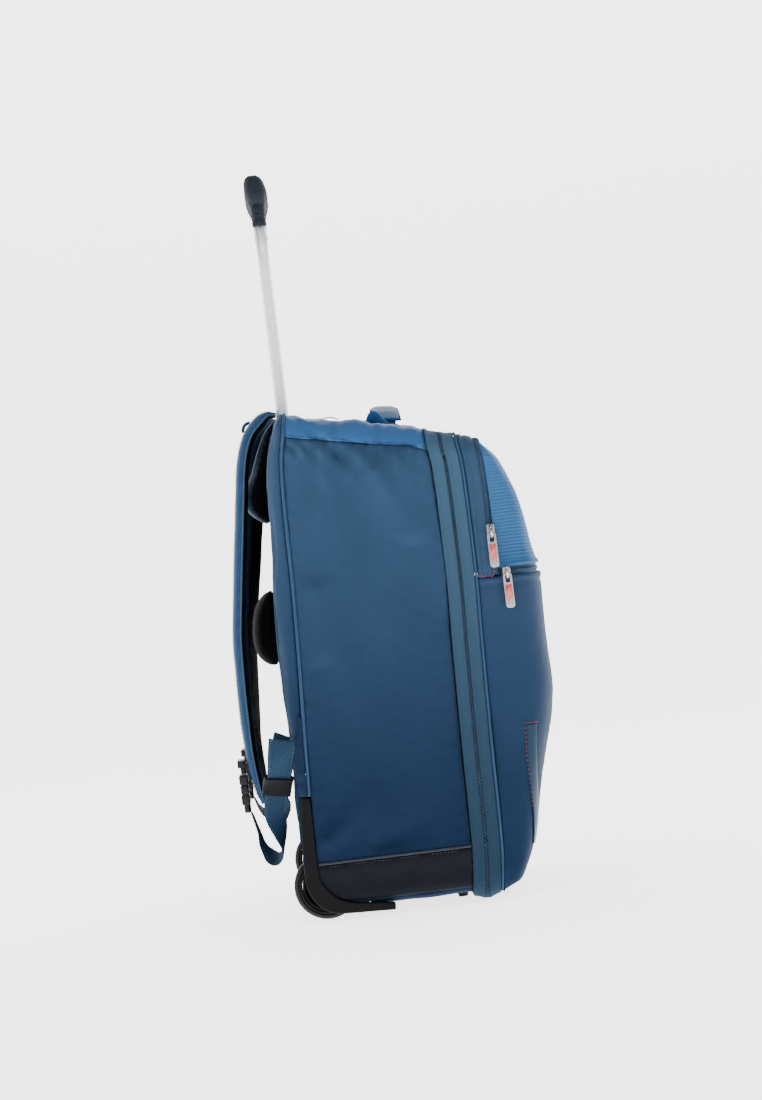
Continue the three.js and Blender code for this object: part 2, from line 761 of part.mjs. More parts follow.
// An oval with its long side across the bag
function oval(depth, breadth) {
  const shape = new THREE.Shape();
  shape.absellipse(0, 0, depth / 2, breadth / 2, 0, 2 * Math.PI);
  return shape;
}

// Grip section: up is a share of the grip's height, wide of its depth, shift moves it back
const gripRows = [
  { up: 0.0, wide: 0.5, shift: 0.0 },
  { up: 0.12, wide: 0.82, shift: 0.0 },
  { up: 0.3, wide: 1.0, shift: 0.0 },
  { up: 0.5, wide: 0.92, shift: 0.01 },
  { up: 0.72, wide: 0.68, shift: 0.05 },
  { up: 0.9, wide: 0.4, shift: 0.09 },
  { up: 1.0, wide: 0.12, shift: 0.1 },
];

function gripBar() {
  const low = tubeTop + socketHeight - 1;
  const end = tubeSpread + gripOverhang;
  const places = [
    { across: -1.0, size: 0.62 },
    { across: -0.96, size: 0.9 },
    { across: -0.88, size: 1.0 },
    { across: -0.45, size: 0.94 },
    { across: 0.0, size: 0.92 },
  ];
  const all = [...places, ...places.slice(0, -1).reverse().map((p) => ({ across: -p.across, size: p.size }))];
  return loft(all.map(({ across, size }) => {
    const right = gripRows.map((row) => [row.wide / 2 - row.shift, row.up]);
    const left = gripRows.slice().reverse().map((row) => [-row.wide / 2 - row.shift, row.up]);
    return [...right, ...left].map(([wide, up]) => {
      const x = tubeX + wide * gripDepth * size;
      return new THREE.Vector3(x, across * end, low + gripHeight * (0.42 + (up - 0.42) * size));
    });
  }));
}

function gripSocket(side) {
  const steps = [[0, 1.08], [0.3, 1.06], [0.32, 0.98], [0.45, 0.98], [0.47, 1.04], [0.62, 1.0], [0.64, 0.92], [1.1, 0.92]];
  const rings = steps.map(([up, size]) => spread(0, 360, 16).slice(0, -1).map((turn) => {
    const x = tubeX + (tubeDepth / 2) * size * Math.cos(turn * degree);
    const y = side * tubeSpread + (tubeBreadth / 2) * size * Math.sin(turn * degree);
    return new THREE.Vector3(x, y, tubeTop + seamGap + socketHeight * up);
  }));
  return loft(rings);
}

function addTrolley() {
  const sleeveBottom = baseLift + clothWall + seamGap;
  const tubeBottom = sleeveBottom + seamGap + tubeTravel + clothWall;
  const inner = [tubeDepth + 2 * slideClearance, tubeBreadth + 2 * slideClearance];
  for (const [end, side] of [['near', -1], ['far', 1]]) {
    const section = oval(inner[0] + 2 * sleeveWall, inner[1] + 2 * sleeveWall);
    section.holes.push(oval(inner[0], inner[1]));
    const options = { depth: sleeveTop - sleeveBottom, bevelEnabled: false, curveSegments: 10 };
    const sleeve = addMesh(`trolley_sleeve_${end}`, new THREE.ExtrudeGeometry(section, options), brightMetal);
    sleeve.position.set(tubeX, side * tubeSpread, sleeveBottom);
    const tubeOptions = { depth: tubeTop - tubeBottom, bevelEnabled: false, curveSegments: 10 };
    const tubeSection = oval(tubeDepth, tubeBreadth);
    tubeSection.holes.push(oval(tubeDepth - 2 * tubeWall, tubeBreadth - 2 * tubeWall));
    const tube = new THREE.ExtrudeGeometry(tubeSection, tubeOptions);
    const mesh = addMesh(`trolley_tube_${end}`, tube, brightMetal);
    mesh.position.set(tubeX, side * tubeSpread, tubeBottom);
  }
  addMesh('grip', join(gripBar(), gripSocket(-1), gripSocket(1)), blackPlastic);
}

// Strap: up is a share of the bag's top level, out of its reach, thick of its thickness, wide of its width
const strapRows = [
  { up: 1.0085, out: -0.08, thick: 0.3, wide: 0.9, drift: 0.0 },
  { up: 1.0095, out: 0.05, thick: 0.6, wide: 0.97, drift: 0.0 },
  { up: 1.0, out: 0.17, thick: 1.0, wide: 1.0, drift: 0.0 },
  { up: 0.978, out: 0.345, thick: 1.0, wide: 1.0, drift: 0.02 },
  { up: 0.949, out: 0.46, thick: 1.0, wide: 1.0, drift: 0.04 },
  { up: 0.904, out: 0.555, thick: 1.0, wide: 1.0, drift: 0.08 },
  { up: 0.844, out: 0.625, thick: 1.0, wide: 1.0, drift: 0.14 },
  { up: 0.727, out: 0.76, thick: 1.0, wide: 1.0, drift: 0.26 },
  { up: 0.647, out: 0.85, thick: 1.0, wide: 1.0, drift: 0.36 },
  { up: 0.567, out: 0.93, thick: 1.0, wide: 1.0, drift: 0.5 },
  { up: 0.468, out: 0.96, thick: 0.98, wide: 0.97, drift: 0.66 },
  { up: 0.4, out: 0.965, thick: 0.95, wide: 0.9, drift: 0.8 },
  { up: 0.347, out: 0.96, thick: 0.85, wide: 0.8, drift: 0.9 },
  { up: 0.3, out: 0.93, thick: 0.75, wide: 0.7, drift: 0.95 },
  { up: 0.262, out: 0.89, thick: 0.6, wide: 0.6, drift: 0.98 },
  { up: 0.235, out: 0.84, thick: 0.4, wide: 0.5, drift: 1.0 },
];

// A flat band through rows of centre, width direction, width and thickness
function band(rows) {
  const rings = rows.map((row, i) => {
    const before = rows[Math.max(0, i - 1)].centre;
    const after = rows[Math.min(rows.length - 1, i + 1)].centre;
    const direction = new THREE.Vector3().subVectors(after, before).normalize();
    const across = row.across.clone().addScaledVector(direction, -row.across.dot(direction)).normalize();
    const out = new THREE.Vector3().crossVectors(direction, across).normalize();
    const w = row.width / 2;
    const t = row.thickness / 2;
    const corner = Math.min(t, w) * 0.5;
    const outline = [[-w + corner, -t], [w - corner, -t], [w, -t + corner], [w, t - corner]];
    outline.push([w - corner, t], [-w + corner, t], [-w, t - corner], [-w, -t + corner]);
    return outline.map(([a, b]) => row.centre.clone().addScaledVector(across, a).addScaledVector(out, b));
  });
  return loft(rings);
}

function strapCentre(row, side) {
  const y = side * (strapSpread + strapDrift * row.drift);
  return new THREE.Vector3(-row.out * strapReach, y, row.up * topLevel);
}

function addStraps() {
  for (const [end, side, twist] of [['near', -1, 0], ['far', 1, farStrapTwist]]) {
    const rows = strapRows.map((row) => {
      const turn = twist * degree * Math.min(1, Math.max(0, row.out) * 1.6) * (1 - 0.8 * row.drift);
      const across = new THREE.Vector3(-Math.sin(turn), Math.cos(turn), 0);
      const centre = strapCentre(row, side);
      return { centre, across, width: strapWidth * row.wide, thickness: strapThickness * row.thick };
    });
    addMesh(`strap_${end}`, band(rows), blueCloth);
  }
}

// Back pads: up is a share of the pad's height, out a share of its depth
const yokeRows = [
  { up: 1.0, out: 0.06 },
  { up: 0.92, out: 0.25 },
  { up: 0.77, out: 0.42 },
  { up: 0.5, out: 0.62 },
  { up: 0.3, out: 0.95 },
  { up: 0.22, out: 1.0 },
  { up: 0.13, out: 0.86 },
  { up: 0.05, out: 0.5 },
  { up: 0.0, out: 0.15 },
];
const lumbarRows = [
  { up: 1.0, out: 0.1 },
  { up: 0.93, out: 0.42 },
  { up: 0.82, out: 0.72 },
  { up: 0.62, out: 0.94 },
  { up: 0.4, out: 1.0 },
  { up: 0.2, out: 0.9 },
  { up: 0.08, out: 0.62 },
  { up: 0.0, out: 0.2 },
];

const padGap = 0.8;

// A pad that lies against the back panel, thickest in its middle
function backPad(rows, bottom, top, depth, half, power) {
  return loft(rows.map((row) => {
    const z = bottom + row.up * (top - bottom);
    const face = backAt(z) - padGap;
    const reach = depth * row.out;
    return spread(0, 180, 12).map((turn) => {
      const c = Math.cos(turn * degree);
      const s = Math.max(0, Math.sin(turn * degree));
      const y = -half * Math.sign(c) * Math.abs(c) ** (2 / power);
      return new THREE.Vector3(face - reach * s ** (2 / power), y, z);
    });
  }));
}

function addPads() {
  const yokeTop = topLevel - yokeDrop;
  addMesh('yoke_pad', backPad(yokeRows, yokeTop - yokeHeight, yokeTop, yokeDepth, yokeHalfWidth, 6), darkCloth);
  addMesh('lumbar_pad', backPad(lumbarRows, lumbarBottom, lumbarTop, lumbarDepth, lumbarHalfWidth, 4), blackCloth);
}

// Webbing: out is a share of its reach, up of its top, in how far it comes in from the side,
// turn how far its width turns from upright to across
const nearWebbing = [
  { out: 0.4, up: 1.075, wide: 1.2, inward: 0.0, turn: 0.0 },
  { out: 0.46, up: 0.98, wide: 1.12, inward: 0.01, turn: 0.0 },
  { out: 0.505, up: 0.89, wide: 1.05, inward: 0.1, turn: 0.0 },
  { out: 0.56, up: 0.82, wide: 1.0, inward: 0.22, turn: 0.0 },
  { out: 0.61, up: 0.74, wide: 0.98, inward: 0.28, turn: 0.05 },
  { out: 0.65, up: 0.64, wide: 0.95, inward: 0.34, turn: 0.2 },
  { out: 0.6, up: 0.53, wide: 0.95, inward: 0.42, turn: 0.6 },
  { out: 0.58, up: 0.45, wide: 1.0, inward: 0.5, turn: 0.9 },
  { out: 0.65, up: 0.39, wide: 1.0, inward: 0.58, turn: 1.0 },
  { out: 0.76, up: 0.39, wide: 1.0, inward: 0.7, turn: 1.0 },
  { out: 0.88, up: 0.45, wide: 1.0, inward: 0.82, turn: 1.0 },
  { out: 0.95, up: 0.54, wide: 1.0, inward: 0.93, turn: 1.0 },
  { out: 1.02, up: 0.64, wide: 1.0, inward: 1.0, turn: 1.0 },
];
const farWebbing = [
  { out: 0.4, up: 1.06, wide: 1.2, inward: 0.0, turn: 0.0 },
  { out: 0.46, up: 0.97, wide: 1.1, inward: 0.02, turn: 0.05 },
  { out: 0.49, up: 0.88, wide: 1.0, inward: 0.1, turn: 0.4 },
  { out: 0.52, up: 0.77, wide: 1.0, inward: 0.2, turn: 0.95 },
  { out: 0.53, up: 0.66, wide: 1.0, inward: 0.32, turn: 1.0 },
  { out: 0.55, up: 0.56, wide: 1.0, inward: 0.5, turn: 1.0 },
  { out: 0.68, up: 0.51, wide: 1.0, inward: 0.65, turn: 1.0 },
  { out: 0.82, up: 0.52, wide: 1.0, inward: 0.8, turn: 1.0 },
  { out: 0.94, up: 0.57, wide: 1.0, inward: 0.94, turn: 1.0 },
  { out: 1.02, up: 0.64, wide: 1.0, inward: 1.0, turn: 1.0 },
];
const webbingOuterY = halfWidth + sideCrown;
const buckleY = strapSpread + strapDrift;
const buckleX = -webbingReach * 1.02 - buckleThickness / 2;

function webbingRow(row, side) {
  const turn = row.turn * 90 * degree;
  const y = side * (webbingOuterY + row.inward * (buckleY - webbingOuterY));
  return {
    centre: new THREE.Vector3(-row.out * webbingReach, y, row.up * webbingTop),
    across: new THREE.Vector3(Math.cos(turn), Math.sin(turn), 0),
    width: webbingWidth * row.wide,
    thickness: webbingThickness,
  };
}

function grown(row, extra) {
  return { ...row, width: row.width + 2 * extra, thickness: row.thickness + 2 * extra };
}

function webbingRoom(rows, side, clearance) {
  return band(rows.map((row) => grown(webbingRow(row, side), clearance)));
}

// A keeper: a short sleeve that follows the webbing's bend at one of its rows
function keeper(rows, at, side) {
  const towards = (next) => {
    const mixed = {};
    for (const key of Object.keys(rows[at])) {
      mixed[key] = rows[at][key] + (rows[next][key] - rows[at][key]) * keeperReach;
    }
    return mixed;
  };
  const along = [towards(at - 1), rows[at], towards(at + 1)];
  const outside = band(along.map((row) => grown(webbingRow(row, side), keeperWall + keeperClearance)));
  return cut(outside, webbingRoom(rows, side, keeperClearance));
}

function buckle(side) {
  const steps = [[0.0, 0.45], [0.1, 0.8], [0.2, 1.0], [0.7, 1.0], [0.72, 0.86], [0.8, 0.86], [0.82, 1.0], [1.0, 1.0]];
  const rows = steps.map(([up, size]) => ({
    centre: new THREE.Vector3(buckleX, side * buckleY, buckleBottom + seamGap + up * buckleHeight),
    across: new THREE.Vector3(0, 1, 0),
    width: buckleWidth * size,
    thickness: buckleThickness * (0.4 + 0.6 * size),
  }));
  return band(rows);
}

// Wing behind the side seam: up is a share of its height, out of its reach
const wingRows = [
  { up: 0.0, out: 0.75 },
  { up: 0.3, out: 1.0 },
  { up: 0.62, out: 0.85 },
  { up: 0.85, out: 0.5 },
  { up: 1.0, out: 0.35 },
];

// A small loop of cloth that stands on the strap: steps along and off the strap's face
function strapLoop(side) {
  const from = strapCentre(strapRows[2], side);
  const to = strapCentre(strapRows[3], side);
  const along = new THREE.Vector3().subVectors(to, from).normalize();
  const off = new THREE.Vector3(-Math.abs(along.z), 0, Math.abs(along.x)).normalize();
  const steps = [[-1, 0], [-0.6, 0.6], [0, 1], [0.6, 0.6], [1, 0]];
  const rows = steps.map(([step, rise]) => ({
    centre: new THREE.Vector3().addVectors(from, to).multiplyScalar(0.5)
      .addScaledVector(along, (step * loopLength) / 2)
      .addScaledVector(off, strapThickness / 2 + seamGap * 2 + webbingThickness / 2 + rise * loopRise),
    across: new THREE.Vector3(0, 1, 0),
    width: loopWidth,
    thickness: webbingThickness,
  }));
  return band(rows);
}

function addHarness() {
  for (const [end, side, rows, at] of [['near', -1, nearWebbing, 3], ['far', 1, farWebbing, 4]]) {
    addMesh(`webbing_${end}`, band(rows.map((row) => webbingRow(row, side))), blueCloth);
    addMesh(`keeper_${end}`, keeper(rows, at, side), blackCloth);
    addMesh(`buckle_${end}`, buckle(side), blackPlastic);
  }
  const rear = wingRows.map((row) => {
    const z = wingBottom + row.up * (wingTop - wingBottom);
    return [backFace + swayAt(0, z) - row.out * wingReach, z];
  });
  const front = wingRows.slice().reverse().map((row) => {
    const z = wingBottom + row.up * (wingTop - wingBottom);
    return [backFace + swayAt(0, z), z];
  });
  const outerY = -webbingOuterY - webbingThickness / 2 - seamGap - wingThickness;
  const wing = slab([...rear, ...front], outerY, outerY + wingThickness);
  addMesh('strap_wing_near', cut(wing, webbingRoom(nearWebbing, -1, webbingClearance)), blueCloth);
  addMesh('strap_wing_far', cut(mirrored(wing), webbingRoom(farWebbing, 1, webbingClearance)), blueCloth);
  for (const [end, side] of [['near', -1], ['far', 1]]) addMesh(`strap_loop_${end}`, strapLoop(side), darkCloth);
}

// Station of a place on the flat of the top, and a flat trim that lies there
function topStation(y) {
  const inTop = halfWidth - topRound;
  return stationTopMiddle - y / inTop;
}

function topTrim(alongs, stations, thickness) {
  const surface = (along, station, layer) => ringPoint(along, station, layer === 0 ? seamGap + thickness : seamGap);
  return wall(surface, alongs, stations);
}

// Carry handle: a padded band that arches over two patches on the top
function addHandle() {
  const rows = spread(-1, 1, 10).map((s) => ({
    centre: new THREE.Vector3(
      handleX,
      (s * handleSpan) / 2,
      topAt(handleX) + patchThickness + seamGap * 4 + handleThickness / 2 + handleRise * (1 - s ** 4),
    ),
    across: new THREE.Vector3(1, 0, -0.09),
    width: handleWidth,
    thickness: handleThickness * (Math.abs(s) > 0.9 ? 0.7 : 1),
  }));
  addMesh('carry_handle', band(rows), topCloth);
  const patchY = handleSpan / 2 - patchWidth / 4;
  const places = [topStation(patchY + patchWidth / 2), topStation(patchY - patchWidth / 2)];
  const alongs = [handleX - patchLength / 2, ...tubAlongs.filter((a) => Math.abs(a - handleX) < patchLength / 2)];
  alongs.push(handleX + patchLength / 2);
  addPair('handle_patch', topTrim(alongs, places.map((s) => -s), patchThickness), blueCloth);
}

// Open zip of the trolley's pocket: two legs and a crossing
function addTrolleyZip() {
  const rear = tubeX + tubeDepth;
  const outer = topStation(trolleyZipHalf);
  const inner = topStation(trolleyZipHalf - trolleyZipWidth);
  const alongs = [rear, ...tubAlongs.filter((a) => a > rear && a < trolleyZipX), trolleyZipX];
  const leg = topTrim(alongs, [-outer, -inner], trimThickness);
  const across = [-outer, -5.5, stationTopMiddle, 5.5, outer];
  const crossing = topTrim([trolleyZipX - trolleyZipWidth, ...alongs.slice(1).filter((a) => a > trolleyZipX - trolleyZipWidth)], across, trimThickness);
  addMesh('trolley_zip', join(crossing, leg, mirrored(leg)), tapeCloth);
}

// Zip sliders on the near side, each with its hanging pull tab
function addPulls() {
  const upperFace = ringPoint(pocketTapeStart, -stationAt(upperSliderLevel, pocketTapeStart), 0).y;
  const lowerFace = pocketPoint(lowerRows, lidStart, topLevel, mouthLevel, 0, 0).y;
  const upperX = pocketTapeStart + pocketTapeWidth / 2 + swayAt(pocketTapeStart, upperSliderLevel);
  const lowerX = pocketStart + sliderLength / 2 + swayAt(pocketStart, mouthLevel) + 2;
  const lowerZ = mouthLevel + mouthHeight / 2;
  const places = [
    ['upper', upperX, upperSliderLevel, sliderWidth, sliderLength, upperFace],
    ['lower', lowerX, lowerZ, sliderLength * 0.6, sliderWidth, lowerFace],
  ];
  for (const [end, x, z, wide, high, faceY] of places) {
    const low = new THREE.Vector3(x - wide / 2, faceY - seamGap - sliderHeight, z - high / 2);
    const corner = new THREE.Vector3(x + wide / 2, faceY - seamGap, z + high / 2);
    addMesh(`slider_${end}`, block(low, corner), brightMetal);
    const tabTop = z - 1;
    const tabY = low.y - seamGap - tabThickness;
    const half = tabWidth / 2;
    const outline = [[x - half, tabTop - tabLength + 3], [x - half + 3, tabTop - tabLength], [x + half - 3, tabTop - tabLength]];
    outline.push([x + half, tabTop - tabLength + 3], [x + half, tabTop - 2], [x + half - 2, tabTop]);
    outline.push([x - half + 2, tabTop], [x - half, tabTop - 2]);
    addMesh(`pull_tab_${end}`, slab(outline, tabY, tabY + tabThickness), brightMetal);
  }
}

addPanels();
addBand();
addPockets();
addStrips();
addBack();
addWheels();
addFeet();
addTrolley();
addStraps();
addPads();
addHarness();
addHandle();
addTrolleyZip();
addPulls();

// Stand the bag on the floor with its middle over the origin
const box = new THREE.Box3().setFromObject(group);
group.position.set(-(box.min.x + box.max.x) / 2, -(box.min.y + box.max.y) / 2, -box.min.z);

export default group;
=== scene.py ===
# A wheeled backpack with its trolley handle pulled out: the looks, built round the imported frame.
import math

import bmesh
import bpy
import numpy as np
from mathutils import Matrix, Vector


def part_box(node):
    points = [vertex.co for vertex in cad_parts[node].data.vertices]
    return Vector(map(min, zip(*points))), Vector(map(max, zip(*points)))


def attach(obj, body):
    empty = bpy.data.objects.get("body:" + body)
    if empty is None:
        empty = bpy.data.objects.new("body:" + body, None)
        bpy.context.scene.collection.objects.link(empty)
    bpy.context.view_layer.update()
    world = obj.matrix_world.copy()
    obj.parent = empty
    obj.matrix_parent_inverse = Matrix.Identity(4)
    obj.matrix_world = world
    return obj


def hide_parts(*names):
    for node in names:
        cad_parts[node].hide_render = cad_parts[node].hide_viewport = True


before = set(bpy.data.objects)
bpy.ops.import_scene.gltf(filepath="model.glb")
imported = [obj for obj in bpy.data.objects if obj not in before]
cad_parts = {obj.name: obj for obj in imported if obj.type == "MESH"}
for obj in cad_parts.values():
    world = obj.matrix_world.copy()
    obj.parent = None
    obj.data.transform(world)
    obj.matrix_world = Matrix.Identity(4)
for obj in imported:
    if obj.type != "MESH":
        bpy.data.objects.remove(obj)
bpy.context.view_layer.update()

# Lengths below are in millimetres, counted from the wheels' axle line on the floor and the bag's middle.
MM = 0.001
ENDS = (("near", -1), ("far", 1))


def middle(node):
    """Middle of a node's box, in metres."""
    low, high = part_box(node)
    return (low + high) / 2


ORIGIN = np.array([middle("tyre_near").x, (middle("tyre_near").y + middle("tyre_far").y) / 2, 0.0])


def placed(points):
    """Millimetres from the axle and the floor to metres in the row frame."""
    return np.asarray(points, float) * MM + ORIGIN


# Bag body
HALF_WIDTH = 170
BAG_HEIGHT = 498
BASE_LIFT = 10
TOP_LEVEL = BASE_LIFT + BAG_HEIGHT
TUB_DEPTH = 151
TAPE_WIDTH = 12.4
COIL_WIDTH = 3
PIPING_WIDTH = 2.7
LID_BAND_DEPTH = 15
POCKET_TAPE_WIDTH = 5
POCKET_DEPTH = 74
BACK_PADDING = 19
SEAM_SWAY = 20
TOP_FALL = 46
TOP_ROUND = 22
BASE_ROUND = 14
SIDE_CROWN = 2
SEAM_GAP = 0.3
BAND_LIFT = 1.5
PIPING_LIFT = 2.6
BAND_DROP = 7.5
SCUFF_TOP = BASE_LIFT + 47
MOUTH_LEVEL = 322
MOUTH_HEIGHT = 8
CORNER_POWER = 5
CLOTH = 1.6

# Points well inside the bag; normals are turned away from them
BAG_HEART = np.array([70.0, 0.0, 250.0])
SHEET_HEART = np.array([90.0, 0.0, 250.0])
POCKET_HEART = np.array([120.0, 0.0, 250.0])

# Places along the bag's depth
BAND_START = TUB_DEPTH + SEAM_GAP
COIL_START = BAND_START + TAPE_WIDTH + SEAM_GAP
FRONT_TAPE_START = COIL_START + COIL_WIDTH + SEAM_GAP
FRONT_PIPING_START = FRONT_TAPE_START + TAPE_WIDTH + SEAM_GAP
LID_START = FRONT_PIPING_START + PIPING_WIDTH + SEAM_GAP
POCKET_TAPE_START = LID_START + LID_BAND_DEPTH + SEAM_GAP
POCKET_START = POCKET_TAPE_START + POCKET_TAPE_WIDTH + SEAM_GAP
POCKET_LOW = BASE_LIFT - BAND_DROP / 2
BAND_LOW = BASE_LIFT - BAND_DROP + BAND_LIFT
BACK_FACE = -PIPING_WIDTH - 2 * SEAM_GAP

# Trolley, wheels and harness; the tubes and the grip stand 4 mm above their solids, as in the photograph
TUBE_X = 12
TUBE_DEPTH = 13
TUBE_BREADTH = 16
TUBE_SPREAD = 75
TUBE_TOP = 710
GRIP_HEIGHT = 36
GRIP_DEPTH = 24
GRIP_OVERHANG = 14
SOCKET_HEIGHT = 17
WHEEL_RADIUS = 33
TYRE_WIDTH = 20
GUARD_TOP = 125
GUARD_REACH = 66
GUARD_HALF = 8
GUARD_OUTER = HALF_WIDTH + 3
GUARD_THICKNESS = 12
STRAP_WIDTH = 62
STRAP_THICKNESS = 13
STRAP_REACH = 64
STRAP_SPREAD = 78
STRAP_DRIFT = 17
FAR_STRAP_TWIST = -18
FAR_STRAP_TUCK = 10
WEBBING_WIDTH = 24
WEBBING_THICKNESS = 1.8
WEBBING_REACH = 66
WEBBING_TOP = 172
WEBBING_OUTER = HALF_WIDTH + SIDE_CROWN
BUCKLE_Y = STRAP_SPREAD + STRAP_DRIFT
BUCKLE_WIDTH = 34
BUCKLE_THICKNESS = 9
BUCKLE_HEIGHT = 54
BUCKLE_BOTTOM = 112

# Seams: up is a share of the bag's height, pipe and band are shares of the seams' sway
SEAMS = {
    "up": [0.0, 0.1, 0.3, 0.5, 0.66, 0.78, 0.86, 0.91, 0.96, 1.0],
    "pipe": [-0.4, -0.37, -0.22, 0.02, 0.16, 0.2, 0.25, 0.34, 0.58, 0.75],
    "band": [-0.33, -0.13, -0.04, 0.09, 0.21, 0.2, 0.15, 0.0, -0.03, -0.05],
}
# Top of the bag: along is a share of the depth to the pockets, fall a share of the top's drop
TOP = {
    "along": [0.0, 0.05, 0.25, 0.5, 0.64, 0.72, 0.77, 0.83, 0.92, 0.97, 1.0],
    "fall": [0.0, 0.055, 0.21, 0.41, 0.52, 0.62, 0.73, 0.81, 0.88, 0.95, 1.0],
}
# Fronts of the pockets: up is a share of the bag's height, out of the pockets' depth
UPPER_POCKET = {
    "up": [0.634, 0.674, 0.73, 0.785, 0.815, 0.842, 0.868, 0.887, 0.9, 0.905],
    "out": [0.95, 0.895, 0.84, 0.77, 0.69, 0.61, 0.53, 0.44, 0.36, 0.29],
}
LOWER_POCKET = {
    "up": [-0.004, 0.006, 0.014, 0.034, 0.065, 0.11, 0.19, 0.27, 0.35, 0.41, 0.5, 0.58, 0.627],
    "out": [0.02, 0.19, 0.32, 0.4, 0.49, 0.57, 0.69, 0.83, 0.955, 1.0, 0.985, 0.97, 0.96],
}
# Padding of the back panel: up is a share of the bag's height, pad of the padding
BACK = {
    "up": [0.004, 0.04, 0.24, 0.36, 0.45, 0.55, 0.65, 0.72, 0.82, 0.9, 0.96, 0.985, 0.998],
    "pad": [0.3, 0.5, 0.56, 0.66, 0.86, 1.0, 0.95, 0.74, 0.68, 0.6, 0.5, 0.38, 0.2],
}
# Guard's centre line: across is a share of its reach, up of its top, half of its half thickness
GUARD = {
    "across": [-0.17, -0.19, -0.21, -0.205, -0.13, 0.0, 0.16, 0.38, 0.68, 1.0],
    "up": [1.0, 0.76, 0.5, 0.34, 0.23, 0.148, 0.104, 0.081, 0.068, 0.054],
    "half": [0.56, 0.75, 0.85, 0.92, 1.08, 1.1, 0.9, 0.66, 0.55, 0.45],
}
# Grip section: up is a share of its height, wide of its depth, shift moves it back
GRIP = {
    "up": [0.0, 0.12, 0.3, 0.5, 0.72, 0.9, 1.0],
    "wide": [0.5, 0.66, 0.88, 1.0, 0.92, 0.72, 0.36],
    "shift": [0.0, 0.0, 0.0, 0.01, 0.04, 0.07, 0.09],
}
# Straps: up is a share of the bag's top level, out of the strap's reach, the rest of its own sizes
STRAP = {
    "up": [1.0085, 1.0095, 1.0, 0.978, 0.949, 0.904, 0.844, 0.727, 0.647, 0.567, 0.468, 0.4, 0.347, 0.3,
           0.262, 0.235],
    "out": [-0.08, 0.05, 0.17, 0.345, 0.46, 0.555, 0.625, 0.76, 0.85, 0.93, 0.96, 0.965, 0.96, 0.93,
            0.89, 0.84],
    "thick": [0.3, 0.6, 1.0, 1.0, 1.0, 1.0, 1.0, 1.0, 1.0, 1.0, 0.98, 0.95, 0.85, 0.75, 0.6, 0.4],
    "wide": [0.9, 0.97, 1.0, 1.0, 1.0, 1.0, 1.0, 1.0, 1.0, 1.0, 0.97, 0.9, 0.8, 0.7, 0.6, 0.5],
    "drift": [0.0, 0.0, 0.0, 0.02, 0.04, 0.08, 0.14, 0.26, 0.36, 0.5, 0.66, 0.8, 0.9, 0.95, 0.98, 1.0],
}
# Pads: up is a share of the pad's height, out of its depth
YOKE = {
    "up": [0.0, 0.05, 0.13, 0.22, 0.3, 0.5, 0.77, 0.92, 1.0],
    "out": [0.15, 0.5, 0.86, 1.0, 0.95, 0.62, 0.42, 0.25, 0.06],
}
LUMBAR = {
    "up": [0.0, 0.08, 0.2, 0.4, 0.62, 0.82, 0.93, 1.0],
    "out": [0.2, 0.62, 0.9, 1.0, 0.94, 0.72, 0.42, 0.1],
}
# Webbing: out is a share of its reach, up of its top, inward of its way in, turn of a right angle
NEAR_WEBBING = {
    "out": [0.4, 0.46, 0.505, 0.56, 0.61, 0.65, 0.6, 0.58, 0.65, 0.76, 0.88, 0.95, 1.02],
    "up": [1.075, 0.98, 0.89, 0.82, 0.74, 0.64, 0.53, 0.45, 0.39, 0.39, 0.45, 0.54, 0.64],
    "wide": [1.2, 1.12, 1.05, 1.0, 0.98, 0.95, 0.95, 1.0, 1.0, 1.0, 1.0, 1.0, 1.0],
    "inward": [0.0, 0.01, 0.1, 0.22, 0.28, 0.34, 0.42, 0.5, 0.58, 0.7, 0.82, 0.93, 1.0],
    "turn": [0.0, 0.0, 0.0, 0.0, 0.05, 0.2, 0.6, 0.9, 1.0, 1.0, 1.0, 1.0, 1.0],
    "tilt": [0.5, 0.3, 0.1, 0.0, 0.0, 0.0, 0.2, 0.4, 0.45, 0.45, 0.4, 0.2, 0.0],
}
FAR_WEBBING = {
    "out": [0.4, 0.46, 0.49, 0.52, 0.53, 0.55, 0.68, 0.82, 0.94, 1.02],
    "up": [0.99, 0.94, 0.87, 0.77, 0.66, 0.56, 0.51, 0.52, 0.57, 0.64],
    "wide": [1.2, 1.1, 1.0, 1.0, 1.0, 1.0, 1.0, 1.0, 1.0, 1.0],
    "inward": [0.0, 0.02, 0.1, 0.2, 0.32, 0.5, 0.65, 0.8, 0.94, 1.0],
    "turn": [0.0, 0.05, 0.4, 0.95, 1.0, 1.0, 1.0, 1.0, 1.0, 1.0],
    "tilt": [0.0, 0.0, 0.0, 0.0, 0.2, 0.35, 0.4, 0.35, 0.2, 0.0],
}


def table(rows, key, column, at):
    """A column of a short table at places between its rows, on a smooth curve that never overshoots."""
    xs = np.array(rows[key], float)
    ys = np.array(rows[column], float)
    at = np.clip(np.asarray(at, float), xs[0], xs[-1])
    slopes = np.diff(ys) / np.diff(xs)
    tangents = np.zeros_like(ys)
    tangents[0], tangents[-1] = slopes[0], slopes[-1]
    product = slopes[:-1] * slopes[1:]
    total = np.where(product > 0, slopes[:-1] + slopes[1:], 1.0)
    tangents[1:-1] = np.where(product > 0, 2 * product / total, 0.0)
    i = np.clip(np.searchsorted(xs, at) - 1, 0, len(xs) - 2)
    width = xs[i + 1] - xs[i]
    t = (at - xs[i]) / width
    start = (2 * t**3 - 3 * t**2 + 1) * ys[i] + (t**3 - 2 * t**2 + t) * width * tangents[i]
    end = (3 * t**2 - 2 * t**3) * ys[i + 1] + (t**3 - t**2) * width * tangents[i + 1]
    return start + end


